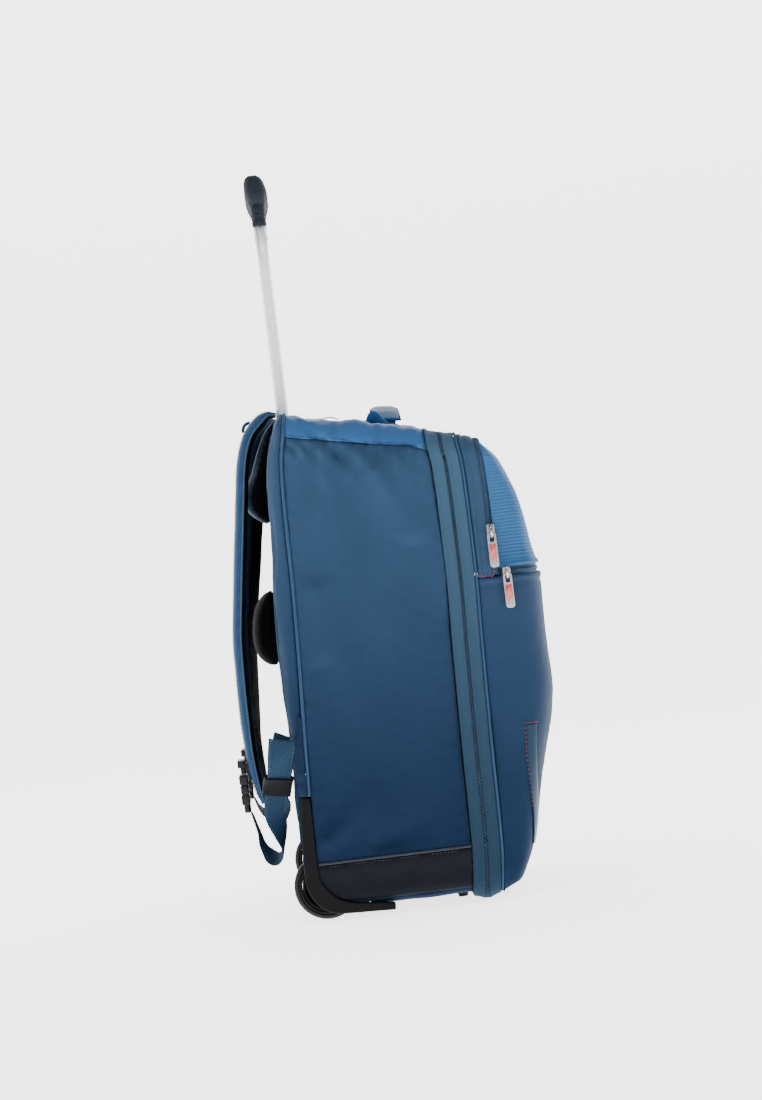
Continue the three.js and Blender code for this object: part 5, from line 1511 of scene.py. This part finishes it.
def add_wheels():
    for end, side in ENDS:
        outline = guard_outline()
        arm = [p for p in guard_outline() if p[1] >= ARM_LEVEL]
        arch = np.concatenate([arc(WELL_RADIUS, -8, 118), arc(WELL_OUTER, -8, 118)[::-1]])
        cheek = np.concatenate([arc(WELL_OUTER, -8, 118), [[-8.0, WHEEL_RADIUS - 8.0]]])
        cap = arc(8.5, 0, 348, 30)
        parts = [
            slab_piece("guard", outline, side * GUARD_OUTER, side * CHEEK_Y, bevel=1.6, segments=3),
            slab_piece("arm", arm, side * (CHEEK_Y + 1), side * WELL_END, bevel=1.0),
            slab_piece("arch", arch, side * (CHEEK_Y + 4), side * WELL_END, bevel=0.6),
            slab_piece("cheek", cheek, side * (CHEEK_Y + 4), side * CHEEK_Y, bevel=0.8),
            slab_piece("inner_cheek", cheek, side * INNER_CHEEK, side * WELL_END, bevel=0.8),
            slab_piece("axle_boss", cap, side * (CHEEK_Y + 5), side * (CHEEK_Y - 2.5), bevel=0.8),
            turned_piece("axle", [[0.6, -20], [4, -20], [4, 20], [0.6, 20]], side * WHEEL_Y, 32),
        ]
        moulded(f"wheel_housing_moulding_{end}", parts, HOUSING, "bag", "housing_plastic",
                f"wheel_housing_{end}")
        add_wheel(end, side)


def add_wheel(end, side):
    half = TYRE_WIDTH / 2
    rim = WHEEL_RADIUS - 8
    tread = rounded([
        [rim, -half + 0.5], [rim + 2.2, -half], [rim + 2.6, -half + 1.0], [rim + 3.2, -half + 1.0],
        [rim + 3.6, -half], [WHEEL_RADIUS - 3, -half], [WHEEL_RADIUS, -half + 3.2],
        [WHEEL_RADIUS, -1.2], [WHEEL_RADIUS - 0.8, -0.6], [WHEEL_RADIUS - 0.8, 0.6], [WHEEL_RADIUS, 1.2],
        [WHEEL_RADIUS, half - 3.2], [WHEEL_RADIUS - 3, half], [rim + 3.6, half], [rim + 3.2, half - 1.0],
        [rim + 2.6, half - 1.0], [rim + 2.2, half], [rim, half - 0.5],
    ], 1.2)
    tyre = turned_piece(f"tyre_rubber_{end}", tread, side * WHEEL_Y)
    finish_piece(tyre, f"wheel_{end}", "tyre_rubber", f"tyre_{end}", material=RUBBER)
    web = half * 0.45
    profile = rounded([
        [4.4, -half - 1], [8.8, -half - 1], [9.4, -web], [rim - 4, -web], [rim - 3, -half + 0.4],
        [rim - 0.3, -half + 0.4], [rim - 0.3, half - 0.4], [rim - 3, half - 0.4], [rim - 4, web],
        [9.4, web], [8.8, half + 1], [4.4, half + 1],
    ], 0.9)
    parts = [turned_piece("hub", profile, side * WHEEL_Y)]
    spoke = np.array([[8.0, -1.3], [21.5, -1.0], [21.5, 1.0], [8.0, 1.3]])
    for turn in np.radians(np.arange(0, 360, 60)):
        turned = spoke @ np.array([[math.cos(turn), math.sin(turn)], [-math.sin(turn), math.cos(turn)]])
        turned[:, 1] += WHEEL_RADIUS
        parts.append(slab_piece("spoke", turned, side * WHEEL_Y - web - 3, side * WHEEL_Y + web + 3, 0.5))
    moulded(f"hub_moulding_{end}", parts, HOUSING, f"wheel_{end}", "hub_plastic", f"hub_{end}")


def add_feet():
    for end, side in ENDS:
        turns = full_turn(32)
        steps = [[0.0, 4.4], [0.15, 4.8], [0.8, 5.0], [3.0, 5.5], [7.5, 6.2], [9.0, 6.4], [9.6, 6.0]]
        rings = np.array([
            np.stack([TUB_DEPTH - 14 + r * np.cos(turns), side * 95 + r * np.sin(turns), 0 * turns + z], -1)
            for z, r in steps
        ])
        foot = loft_piece(f"foot_moulding_{end}", rings)
        finish_piece(foot, "bag", "housing_plastic", f"foot_{end}", material=HOUSING)


# Trolley
def tube_section():
    """Oval tube section with a shallow groove down each broad side."""
    turns = full_turn(96)
    x, y = TUBE_DEPTH / 2 * np.cos(turns), TUBE_BREADTH / 2 * np.sin(turns)
    groove = 1 - 0.09 * bump(x, 0.2, 0.9) - 0.03 * bump(x, -3.4, 0.5)
    return x, y * groove


def add_trolley():
    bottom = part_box("trolley_tube_near")[0].z / MM
    x, y = tube_section()
    for end, side in ENDS:
        heights = np.linspace(bottom, TUBE_TOP, 12)
        rings = np.array([
            np.stack([TUBE_X + x, side * TUBE_SPREAD + y, np.full_like(x, z)], -1) for z in heights
        ])
        tube = loft_piece(f"trolley_tube_metal_{end}", rings)
        tube.modifiers.new("Normals", "WEIGHTED_NORMAL")
        finish_piece(tube, "trolley", "tube_aluminium", f"trolley_tube_{end}", material=ALUMINIUM)
        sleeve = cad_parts[f"trolley_sleeve_{end}"]
        sleeve.data.materials.clear()
        sleeve.data.materials.append(ALUMINIUM)
    parts = [grip_bar()]
    for side in (-1, 1):
        steps = [[0.0, 1.06], [0.05, 1.13], [0.22, 1.15], [0.3, 1.04], [0.42, 1.0], [0.5, 1.0], [0.54, 1.1],
                 [0.6, 1.12], [0.65, 1.02], [0.72, 1.0], [0.76, 1.1], [0.84, 1.14], [0.9, 1.04], [1.3, 1.3]]
        turns = full_turn(40)
        rings = np.array([
            np.stack([
                TUBE_X + TUBE_DEPTH / 2 * size * np.cos(turns),
                side * TUBE_SPREAD + TUBE_BREADTH / 2 * size * np.sin(turns),
                np.full_like(turns, TUBE_TOP - 2.5 + SOCKET_HEIGHT * 1.15 * up),
            ], -1)
            for up, size in steps
        ])
        parts.append(loft_piece("socket", rings))
    moulded("grip_moulding", parts, GRIP_PLASTIC, "trolley", "grip_plastic", "grip")


def grip_bar():
    """The grip's ribbed bar, with rounded ends."""
    end = TUBE_SPREAD + GRIP_OVERHANG
    low = TUBE_TOP + SOCKET_HEIGHT - 1
    rows = sampled(GRIP, "up", 70)
    ribs = 1 + 0.035 * np.sin(2 * np.pi * rows["up"] / 0.085) * np.clip((0.52 - rows["up"]) / 0.06, 0, 1)
    rows["wide"] = rows["wide"] * ribs
    wide = np.concatenate([rows["wide"] / 2 - rows["shift"], (-rows["wide"] / 2 - rows["shift"])[::-1]])
    up = np.concatenate([rows["up"], rows["up"][::-1]])
    places = np.sin(np.linspace(-np.pi / 2, np.pi / 2, 81))
    sizes = 0.98 * np.maximum(0.02, 1 - np.abs(places) ** 12) ** 0.4
    rings = []
    for place, size in zip(places, sizes):
        crest = 0.42 + (up - 0.42) * size
        x, y = TUBE_X + wide * GRIP_DEPTH * size, np.full_like(wide, place * end)
        rings.append(np.stack([x, y, low + GRIP_HEIGHT * crest], -1))
    return loft_piece("bar", np.array(rings))


# Harness
def flat_rows(rows, centre, across, width, thickness, count):
    """Path, frames and sizes of a band along a smoothly resampled table."""
    rows = curved(rows, "out", count)
    path = centre(rows)
    _, side, face = frames_along(path, across(rows))
    return path, side, face, width(rows), thickness(rows)


def rounded_section(count, power=3.2):
    """A rounded section of width and height 2, and its turns."""
    turns = full_turn(count)
    c, s = np.cos(turns), np.sin(turns)
    return np.sign(c) * np.abs(c) ** (2 / power), np.sign(s) * np.abs(s) ** (2 / power), turns


def strap_frames(side, twist, tuck):
    """Path, frames and sizes of a shoulder strap."""
    def across(rows):
        turn = np.radians(twist) * np.clip(rows["out"] * 1.6, 0, 1) * (1 - 0.55 * rows["drift"])
        return np.stack([-np.sin(turn), np.cos(turn), 0 * turn], -1)

    def centre(rows):
        y = side * (STRAP_SPREAD + STRAP_DRIFT * rows["drift"])
        inward = tuck * np.clip(rows["out"] * 1.6, 0, 1) * (1 - rows["drift"])
        return np.stack([inward - rows["out"] * STRAP_REACH, y, rows["up"] * TOP_LEVEL], -1)

    return flat_rows(STRAP, centre, across, lambda r: STRAP_WIDTH * r["wide"],
                     lambda r: STRAP_THICKNESS * r["thick"], 150)


def strap_parts(end, side, twist, tuck, mesh_from):
    """A padded shoulder strap with its bindings and stitches."""
    path, across, face, width, thickness = strap_frames(side, twist, tuck)
    a, b, turns = rounded_section(40)
    lengths = path_lengths(path)
    soft = 1 + 0.02 * waves(lengths[:, None], turns[None] * 20, size=40, seed=111 + side)
    sides = across[:, None] * (a[None] * width[:, None] / 2)[..., None]
    faces = face[:, None] * (b[None] * thickness[:, None] / 2 * soft)[..., None]
    rings = path[:, None] + sides + faces
    strap = loft_piece(f"strap_cloth_{end}", rings)
    strap.data.materials.append(CLOTH_STRAP)
    strap.data.materials.append(MESH)
    columns = len(a)
    for polygon in strap.data.polygons:
        inner = np.mean([b[v % columns] for v in polygon.vertices]) > mesh_from
        polygon.material_index = int(inner)
    finish_piece(strap, "bag", "strap_cloth", f"strap_{end}")
    height = 0.36
    reach = (1 - height**3.2) ** (1 / 3.2)
    for name, sign in (("out", 1), ("in", -1)):
        line = path + across * (sign * (reach * width / 2 + 0.3))[:, None]
        line = line + face * (height * thickness / 2)[:, None]
        binding = loft_piece(f"strap_binding_{name}_{end}", tube_rings(line, 0.9, 8))
        finish_piece(binding, "bag", "strap_cloth", material=THREAD_PALE)
        inset = path + across * (sign * (width / 2 - 7))[:, None] - face * (thickness / 2 + 0.1)[:, None]
        line = even_path(inset[8:-6], 3.8)
        normals = -np.array([face[np.argmin(np.linalg.norm(path - p, axis=1))] for p in line])
        dashes = bits(f"strap_stitches_{name}_{end}", line, np.gradient(line, axis=0), normals, 2.6, 0.7, 0.7)
        finish_piece(dashes, "bag", "strap_cloth", material=THREAD_PALE)


def add_straps():
    strap_parts("near", -1, 0, 0, 0.42)
    strap_parts("far", 1, FAR_STRAP_TWIST, FAR_STRAP_TUCK, 0.93)
    for end, side in ENDS:
        path = strap_frames(side, 0, 0)[0]
        steps = np.linspace(-1, 1, 25)
        low, high = np.argmin(np.abs(path[:, 0] + 17)), np.argmin(np.abs(path[:, 0] + 24))
        middle_point = (path[low] + path[high]) / 2
        along = (path[high] - path[low]) / np.linalg.norm(path[high] - path[low])
        off = np.array([-abs(along[2]), 0, abs(along[0])])
        off /= np.linalg.norm(off)
        rise = 0.9 + 3.0 * np.cos(steps * np.pi / 2) ** 0.7
        line = middle_point + along * steps[:, None] * 6 + off * (STRAP_THICKNESS / 2 + rise)[:, None]
        a, b, _ = rounded_section(16)
        _, wide, out = frames_along(line, np.tile([0.0, 1.0, 0.0], (len(line), 1)))
        rings = line[:, None] + wide[:, None] * (a * 4.5)[None, :, None]
        rings = rings + out[:, None] * (b * 1.7)[None, :, None]
        loop = loft_piece(f"strap_loop_cloth_{end}", rings)
        finish_piece(loop, "bag", "webbing", f"strap_loop_{end}", material=CLOTH_EDGE)


def back_pad(name, node, rows, bottom, top, depth, half, power, material):
    """A padded cushion on the back panel, blown up as a stuffed cover."""
    levels = sampled(rows, "up", 40)
    z = bottom + levels["up"] * (top - bottom)
    turns = even_turns(depth, 60)
    c, s = np.cos(np.radians(turns)), np.maximum(0, np.sin(np.radians(turns)))
    face = back_face_at(z) - 1.2
    y = -half * np.sign(c) * np.abs(c) ** (2 / power)
    x = face[:, None] - (depth * levels["out"])[:, None] * s[None] ** (2 / power)
    rings = np.stack([x, np.repeat(y[None], len(z), 0), np.repeat(z[:, None], len(y), 1)], -1)
    piece = loft_piece(name, rings)
    piece.data.materials.append(MESH)
    piece.data.materials.append(material)
    cloth_padded(piece)
    for polygon in piece.data.polygons:
        centre = (np.array(polygon.center) - ORIGIN) / MM
        reach = depth * float(table(rows, "up", "out", (centre[2] - bottom) / (top - bottom)))
        polygon.material_index = int(float(back_face_at(centre[2])) - centre[0] > 0.8 * reach)
    piece.modifiers.new("Smooth", "SUBSURF").levels = 1
    piece.modifiers["Smooth"].render_levels = 1
    finish_piece(piece, "bag", "mesh_cloth", node)


def add_pads():
    yoke_top = TOP_LEVEL + 3
    # The yoke's cloth is blue darkened as painted shade
    back_pad("yoke_padding", "yoke_pad", YOKE, yoke_top - 107, yoke_top, 25, 41, 6, PAD_CLOTH_PAINTED_SHADE)
    back_pad("lumbar_padding", "lumbar_pad", LUMBAR, 256, 334, 23, 61, 4, MESH)


def webbing_frames(rows, side, count):
    """Path, frames and sizes of a webbing."""
    def across(rows):
        turn = np.radians(rows["turn"] * 90)
        return np.stack([np.cos(turn), np.sin(turn), rows["tilt"]], -1)

    def centre(rows):
        y = side * (WEBBING_OUTER + rows["inward"] * (BUCKLE_Y - WEBBING_OUTER))
        return np.stack([-rows["out"] * WEBBING_REACH, y, rows["up"] * WEBBING_TOP], -1)

    return flat_rows(rows, centre, across, lambda r: WEBBING_WIDTH * r["wide"],
                     lambda r: WEBBING_THICKNESS + 0 * r["wide"], count)


def band_rings(path, across, face, width, thickness, grow=0.0, sides=20):
    """Sections of a flat band with rounded edges, grown all round."""
    a, b, _ = rounded_section(sides, 5.0)
    return (path[:, None] + across[:, None] * (a[None] * (width[:, None] / 2 + grow))[..., None]
            + face[:, None] * (b[None] * (thickness[:, None] / 2 + grow))[..., None])


def add_webbing():
    count = 120
    webbings = (("near", -1, NEAR_WEBBING, 2.35, 3.85), ("far", 1, FAR_WEBBING, 3.3, 4.7))
    for end, side, rows, low, high in webbings:
        path, across, face, width, thickness = webbing_frames(rows, side, count)
        ribbon = loft_piece(f"webbing_band_{end}", band_rings(path, across, face, width, thickness))
        finish_piece(ribbon, "bag", "webbing", f"webbing_{end}", material=WEBBING)
        step = np.linspace(0, len(rows["out"]) - 1, count)
        held = (step > low) & (step < high)
        shape = [v[held] for v in (path, across, face, width, thickness)]
        outer = band_rings(*shape, grow=1.7, sides=28)
        sleeve = sheet_piece(f"keeper_cloth_{end}", outer, thickness=1.1, around=True)
        finish_piece(sleeve, "bag", "keeper_cloth", f"keeper_{end}", material=CLOTH_KEEPER)
        for name, sign in (("a", 1), ("b", -1)):
            edge = path + across * (sign * (width / 2 - 1.6))[:, None]
            part = even_path(edge[: int(count * 0.42)], 2.2)
            nearest = [np.argmin(np.linalg.norm(path - p, axis=1)) for p in part]
            for layer, flip in (("front", 1), ("rear", -1)):
                centres = part + face[nearest] * (flip * (WEBBING_THICKNESS / 2))
                bars = bits(f"webbing_edge_{name}_{layer}_{end}", centres, across[nearest], face[nearest],
                            2.6, 0.8, 0.6)
                finish_piece(bars, "bag", "webbing", material=THREAD_PALE)


def buckle_parts(side):
    """Side-release buckle: bar, catch and body, each a rounded block with its own width and depth."""
    x = -WEBBING_REACH * 1.02 - BUCKLE_THICKNESS / 2
    blocks = {
        "low": [0.0, 0.16, 0.36, 0.54, 0.74, 0.86],
        "high": [0.17, 0.35, 0.53, 0.72, 0.87, 1.0],
        "wide": [0.72, 0.96, 0.94, 0.98, 0.6, 1.0],
        "deep": [0.72, 0.96, 0.9, 1.0, 0.62, 0.9],
        "shift": [0.6, 0.0, 0.0, 0.0, 0.8, -0.4],
    }
    parts = []
    for low, high, wide, deep, shift in zip(*blocks.values()):
        half_y, half_x = BUCKLE_WIDTH / 2 * wide, BUCKLE_THICKNESS / 2 * deep
        z0 = BUCKLE_BOTTOM + low * BUCKLE_HEIGHT
        z1 = BUCKLE_BOTTOM + high * BUCKLE_HEIGHT
        outline = rectangle(x + shift, half_x, z0, z1)
        y = side * BUCKLE_Y
        parts.append(slab_piece("block", outline, y - half_y, y + half_y, bevel=1.5, segments=3))
    for offset in (-0.36, 0.36):
        y = side * BUCKLE_Y + offset * BUCKLE_WIDTH
        z0, z1 = BUCKLE_BOTTOM + 0.02 * BUCKLE_HEIGHT, BUCKLE_BOTTOM + 0.5 * BUCKLE_HEIGHT
        parts.append(slab_piece("prong", rectangle(x, 2.6, z0, z1), y - 2.4, y + 2.4, bevel=1.2, segments=3))
    return parts


def add_buckles():
    for end, side in ENDS:
        moulded(f"buckle_moulding_{end}", buckle_parts(side), BUCKLE_PLASTIC, "bag", "housing_plastic",
                f"buckle_{end}")


def add_wings():
    """Cloth wings behind the side seams that hold the webbing."""
    rows = {"up": [0.0, 0.3, 0.62, 0.85, 1.0], "out": [0.75, 1.0, 0.85, 0.5, 0.35]}
    low, high = 127, 206
    for end, side in ENDS:
        up, share = grid(np.linspace(0, 1, 40), np.linspace(0, 1, 10))
        z = low + up * (high - low)
        reach = table(rows, "up", "out", up) * 10
        x = BACK_FACE + sway_at(0, z) - share * reach
        hollow = 2.4 * (1 - np.sin(np.pi * np.clip(up, 0.02, 0.98))) * share
        y = side * (HALF_WIDTH + 4.6 - 1.0 * share**2 - hollow)
        y = y + side * 0.4 * waves(x, z, size=16, seed=121)
        points = np.stack([x, y, z], -1)
        wing = sheet_piece(f"strap_wing_cloth_{end}", points, thickness=1.4)
        finish_piece(wing, "bag", "body_cloth", f"strap_wing_{end}", material=CLOTH_WING)


# Top of the bag: handle and the trolley pocket's zip
HANDLE = {"x": 118, "span": 180, "width": 27, "thickness": 6, "rise": 15}


def add_handle():
    steps = np.linspace(-1, 1, 90)
    base = float(top_at(HANDLE["x"])) + 2.5 + 1.2 + HANDLE["thickness"] / 2
    rise = HANDLE["rise"] * (1 - np.abs(steps) ** 3)
    path = np.stack([np.full_like(steps, HANDLE["x"]), steps * HANDLE["span"] / 2, base + rise], -1)
    across = np.tile([1.0, 0, -0.09], (len(steps), 1))
    _, wideways, face = frames_along(path, across)
    a, b, turns = rounded_section(36, 2.6)
    thick = HANDLE["thickness"] * (0.55 + 0.55 * (1 - np.abs(steps) ** 6))
    wide = HANDLE["width"] * (1 - 0.06 * (1 - np.abs(steps) ** 8))
    wrinkle = 1 + 0.05 * waves(steps[:, None] * 90, turns[None] * 6, size=14, seed=131)
    rings = (path[:, None] + wideways[:, None] * (a[None] * wide[:, None] / 2)[..., None]
             + face[:, None] * (b[None] * thick[:, None] / 2 * wrinkle)[..., None])
    piece = loft_piece("handle_cloth", rings)
    finish_piece(piece, "bag", "top_cloth", "carry_handle", material=CLOTH_TOP_PLAIN)
    for name, sign in (("front", 1), ("rear", -1)):
        edge = path + wideways * (sign * (wide / 2 + 0.2))[:, None]
        cord = loft_piece(f"handle_piping_{name}", tube_rings(edge, 1.1, 8))
        finish_piece(cord, "bag", "top_cloth", material=CLOTH_EDGE)
    for end, side in ENDS:
        y = HANDLE["span"] / 2 - 34 / 4 + np.linspace(-17, 17, 24)
        x = HANDLE["x"] + np.linspace(-28, 22, 34)
        a2, s2 = grid(x, 6 - y / IN_TOP)
        edge = edge_fade(a2, HANDLE["x"] - 28, HANDLE["x"] + 22, 5) * edge_fade(s2, s2.min(), s2.max(), 0.03)
        puff = 2.4 + 12.0 * bump(a2, HANDLE["x"] - 17, 11) + 0.5 * waves(a2, s2 * 150, size=14, seed=141)
        points = ring_points(a2, side * s2, lift=0.4 + puff * edge)
        patch = sheet_piece(f"handle_patch_cloth_{end}", points, thickness=0.8)
        finish_piece(patch, "bag", "top_cloth", f"handle_patch_{end}", material=CLOTH_TOP_PLAIN)


def add_trolley_zip():
    half, zip_x, rear = 112, 50, TUBE_X + TUBE_DEPTH

    def rise(a):
        return 0.8 + 3.2 * bump(a, 52, 9)

    leg_stations = 6 - np.linspace(half - 5, half, 6) / IN_TOP
    for end, side in ENDS:
        a, s = grid(np.linspace(rear, zip_x + 10, 30), leg_stations)
        points = ring_points(a, side * s, lift=rise(a))
        leg = sheet_piece(f"trolley_zip_tape_{end}", points, thickness=0.6)
        nodes = ["trolley_zip"] if side < 0 else []
        finish_piece(leg, "bag", "tape_cloth", *nodes, material=CLOTH_DARK_TAPE)
        place = np.linspace(rear, zip_x + 10, 25)
        line = ring_points(place, side * (6 - (half - 5) / IN_TOP), lift=rise(place) + 0.5)
        across = np.tile([0.0, 1.0, 0.0], (len(line), 1))
        normals = np.tile([0.0, 0.0, 1.0], (len(line), 1))
        teeth = bits(f"trolley_zip_teeth_{end}", line, across, normals, 2.4, 1.0, 1.0)
        finish_piece(teeth, "bag", "zip_coil", material=COIL_NYLON)
    near = 6 - np.linspace(half, 0, 60) / IN_TOP
    far = 6 - np.linspace(0, half, 60)[1:] / IN_TOP
    a, s = grid(np.linspace(zip_x - 5, zip_x, 5), np.concatenate([-near, far]))
    crossing = sheet_piece("trolley_zip_crossing", ring_points(a, s, lift=0.9), thickness=0.6)
    finish_piece(crossing, "bag", "tape_cloth", material=CLOTH_DARK_TAPE)


# Zip pulls
def box_of(node):
    """Low and high corners of a node, in the millimetres that placed() takes."""
    return [(np.array(corner) - ORIGIN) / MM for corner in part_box(node)]


def holed_slab(name, outer, inner, from_y, to_y, bevel):
    """A flat plate with a window through it."""
    mesh = bmesh.new()
    edges = []
    for loop in (outer, inner):
        corners = [mesh.verts.new(placed([x, from_y, z])) for x, z in loop]
        edges += [mesh.edges.new((corners[i], corners[(i + 1) % len(corners)])) for i in range(len(corners))]
    bmesh.ops.triangle_fill(mesh, use_beauty=True, use_dissolve=False, edges=edges)
    body = bmesh.ops.extrude_face_region(mesh, geom=mesh.faces[:])
    moved = [v for v in body["geom"] if isinstance(v, bmesh.types.BMVert)]
    bmesh.ops.translate(mesh, vec=Vector((0, (to_y - from_y) * MM, 0)), verts=moved)
    bmesh.ops.recalc_face_normals(mesh, faces=mesh.faces[:])
    data = bpy.data.meshes.new(name)
    mesh.to_mesh(data)
    mesh.free()
    piece = bpy.data.objects.new(name, data)
    bpy.context.collection.objects.link(piece)
    soften(piece, bevel, 2, angle=50)
    piece.data.polygons.foreach_set("use_smooth", [True] * len(piece.data.polygons))
    piece.modifiers.new("Normals", "WEIGHTED_NORMAL").keep_sharp = True
    return piece


def add_pulls():
    for end in ("upper", "lower"):
        low, high = box_of(f"pull_tab_{end}")
        x, y = (low[0] + high[0]) / 2, low[1]
        half, top, bottom = 4.5, high[2], low[2]
        outline = rounded(rectangle(x, half, bottom, top), 4.4, 7)
        window = rounded(rectangle(x, 2.2, top - 10.5, top - 3.2), 1.6, 4)
        tab = holed_slab(f"pull_tab_metal_{end}", outline, window, y, y + 1.6, 0.45)
        finish_piece(tab, f"tab_{end}", "pull_metal", f"pull_tab_{end}", material=NICKEL)
        left, right, upper = x - 3.4, x + 3.4, top - 12.5
        paint = [[left, bottom + 6.5], [right, bottom + 9.5], [right, upper], [left, upper]]
        panel = slab_piece(f"pull_stripes_{end}", rounded(paint, 0.8, 3), y - 0.12, y + 0.3)
        finish_piece(panel, f"tab_{end}", "pull_metal", material=TAB_PAINT)
        ring = arc(2.3, 0, 345, 24)
        ring[:, 0] += x
        ring[:, 1] += bottom + 4.2 - WHEEL_RADIUS
        boss = slab_piece(f"pull_boss_{end}", ring, y - 0.25, y + 0.3, bevel=0.2)
        finish_piece(boss, f"tab_{end}", "pull_metal", material=NICKEL)
        add_slider(end)


def add_slider(end):
    low, high = box_of(f"slider_{end}")
    middle_x, middle_z = (low[0] + high[0]) / 2, (low[2] + high[2]) / 2
    half_x, half_z = (high[0] - low[0]) / 2, (high[2] - low[2]) / 2
    plate = rounded([
        [middle_x - half_x, middle_z + half_z], [middle_x - half_x * 0.8, middle_z - half_z],
        [middle_x + half_x * 0.8, middle_z - half_z], [middle_x + half_x, middle_z + half_z],
    ], 2.0, 5)
    parts = [slab_piece("plate", plate, high[1] - 2.4, high[1], bevel=0.5)]
    rail = 1.1
    for side in (-1, 1):
        x = middle_x + side * (half_x * 0.72)
        outline = rounded(rectangle(x, rail, middle_z - half_z * 0.9, middle_z + half_z * 0.95), 0.8, 3)
        parts.append(slab_piece("rail", outline, low[1] + 0.7, high[1] - 2, bevel=0.4))
    bridge = rounded(rectangle(middle_x, 1.4, middle_z - half_z * 0.75, middle_z + half_z * 0.85), 1.0, 4)
    parts.append(slab_piece("bridge", bridge, low[1] + 0.05, high[1] - 2, bevel=0.6))
    tab_low, tab_high = box_of(f"pull_tab_{end}")
    pivot_y, pivot_z, reach = (tab_low[1] + tab_high[1]) / 2, tab_high[2], 6.0
    bend = np.radians(np.arange(-90, 91, 15))
    arch_y, arch_z = pivot_y - reach * np.cos(bend), pivot_z + reach * np.sin(bend)
    arch = np.stack([np.full_like(bend, middle_x), arch_y, arch_z], -1)
    root = high[1] - 2
    arch = np.concatenate([[[middle_x, root, pivot_z - reach]], arch, [[middle_x, root, pivot_z + reach]]])
    parts.append(loft_piece("arch", tube_rings(even_path(arch, 0.8), 1.3, 12)))
    moulded(f"slider_metal_{end}", parts, NICKEL, "bag", "pull_metal", f"slider_{end}")


# Stage, light and camera
def add_stage():
    floor = Shader("floor", 0.9)
    floor.colour((0.93, 0.935, 0.94, 1.0))
    floor.shader.inputs["Emission Color"].default_value = (1.0, 1.0, 1.0, 1.0)
    floor.shader.inputs["Emission Strength"].default_value = 2.6
    bend = np.radians(np.arange(6, 91, 6))
    depth = np.concatenate([np.linspace(-30, 1.6, 12), 1.6 + 1.4 * np.sin(bend)])
    height = np.concatenate([np.zeros(12), 1.4 * (1 - np.cos(bend))])
    depth, height = np.append(depth, depth[-1]), np.append(height, 5.0)
    points = [(x, y, z - 0.0005) for y, z in zip(depth, height) for x in (-30.0, 30.0)]
    piece = mesh_piece("backdrop", points, grid_faces(len(depth), 2).tolist())
    piece.data.materials.append(floor.material)


def add_light(name, place, target, size, power):
    data = bpy.data.lights.new(name, "AREA")
    data.shape = "RECTANGLE"
    data.size, data.size_y = size
    data.energy = power
    data.color = (1.0, 1.0, 1.0)
    light = bpy.data.objects.new(name, data)
    light.location = place
    light.rotation_euler = (Vector(target) - Vector(place)).to_track_quat("-Z", "Y").to_euler()
    bpy.context.collection.objects.link(light)


def add_lights():
    world = bpy.data.worlds.new("studio")
    world.use_nodes = True
    background = world.node_tree.nodes["Background"]
    background.inputs["Color"].default_value = (0.95, 0.97, 1.0, 1.0)
    background.inputs["Strength"].default_value = 0.12
    bpy.context.scene.world = world
    target = (0.0, 0.0, 0.32)
    add_light("top softbox", (0.1, -0.7, 2.6), target, (2.4, 1.8), 42)
    add_light("front left softbox", (-1.9, -2.1, 1.5), target, (0.8, 1.3), 14)
    add_light("front right softbox", (2.2, -1.6, 1.4), target, (0.8, 1.5), 4)
    add_light("rear strip", (-1.7, 1.2, 1.3), target, (0.6, 1.8), 5)


# The photograph's view: aim point and distance in millimetres, roll and turn in degrees
AIM = (93.8, -170.0, 361.8)
DISTANCE = 3200
ROLL = 6.9
YAW = 1.4
LENS = 104.7


def add_camera():
    data = bpy.data.cameras.new("camera")
    data.lens = LENS
    data.sensor_width = 36
    data.sensor_fit = "AUTO"
    camera = bpy.data.objects.new("camera", data)
    yaw, roll = math.radians(YAW), math.radians(ROLL)
    forward = Vector((math.sin(yaw), math.cos(yaw), 0))
    right = Vector((math.cos(yaw), -math.sin(yaw), 0))
    up = Vector((0, 0, 1))
    tilted_right = right * math.cos(roll) - up * math.sin(roll)
    tilted_up = up * math.cos(roll) + right * math.sin(roll)
    aim = Vector(placed(AIM))
    place = aim - forward * DISTANCE * MM
    axes = [[tilted_right[i], tilted_up[i], -forward[i], place[i]] for i in range(3)]
    camera.matrix_world = Matrix([*axes, [0, 0, 0, 1]])
    bpy.context.collection.objects.link(camera)
    bpy.context.scene.camera = camera


add_camera()
add_sides()
add_top()
add_base()
add_band()
add_upper_pocket()
add_lower_pocket()
add_mouth()
add_lid()
add_strips()
add_pink_bracket()
add_seams()
add_back()
add_wheels()
add_feet()
add_trolley()
add_straps()
add_pads()
add_webbing()
add_buckles()
add_wings()
add_handle()
add_trolley_zip()
add_pulls()
add_stage()
add_lights()
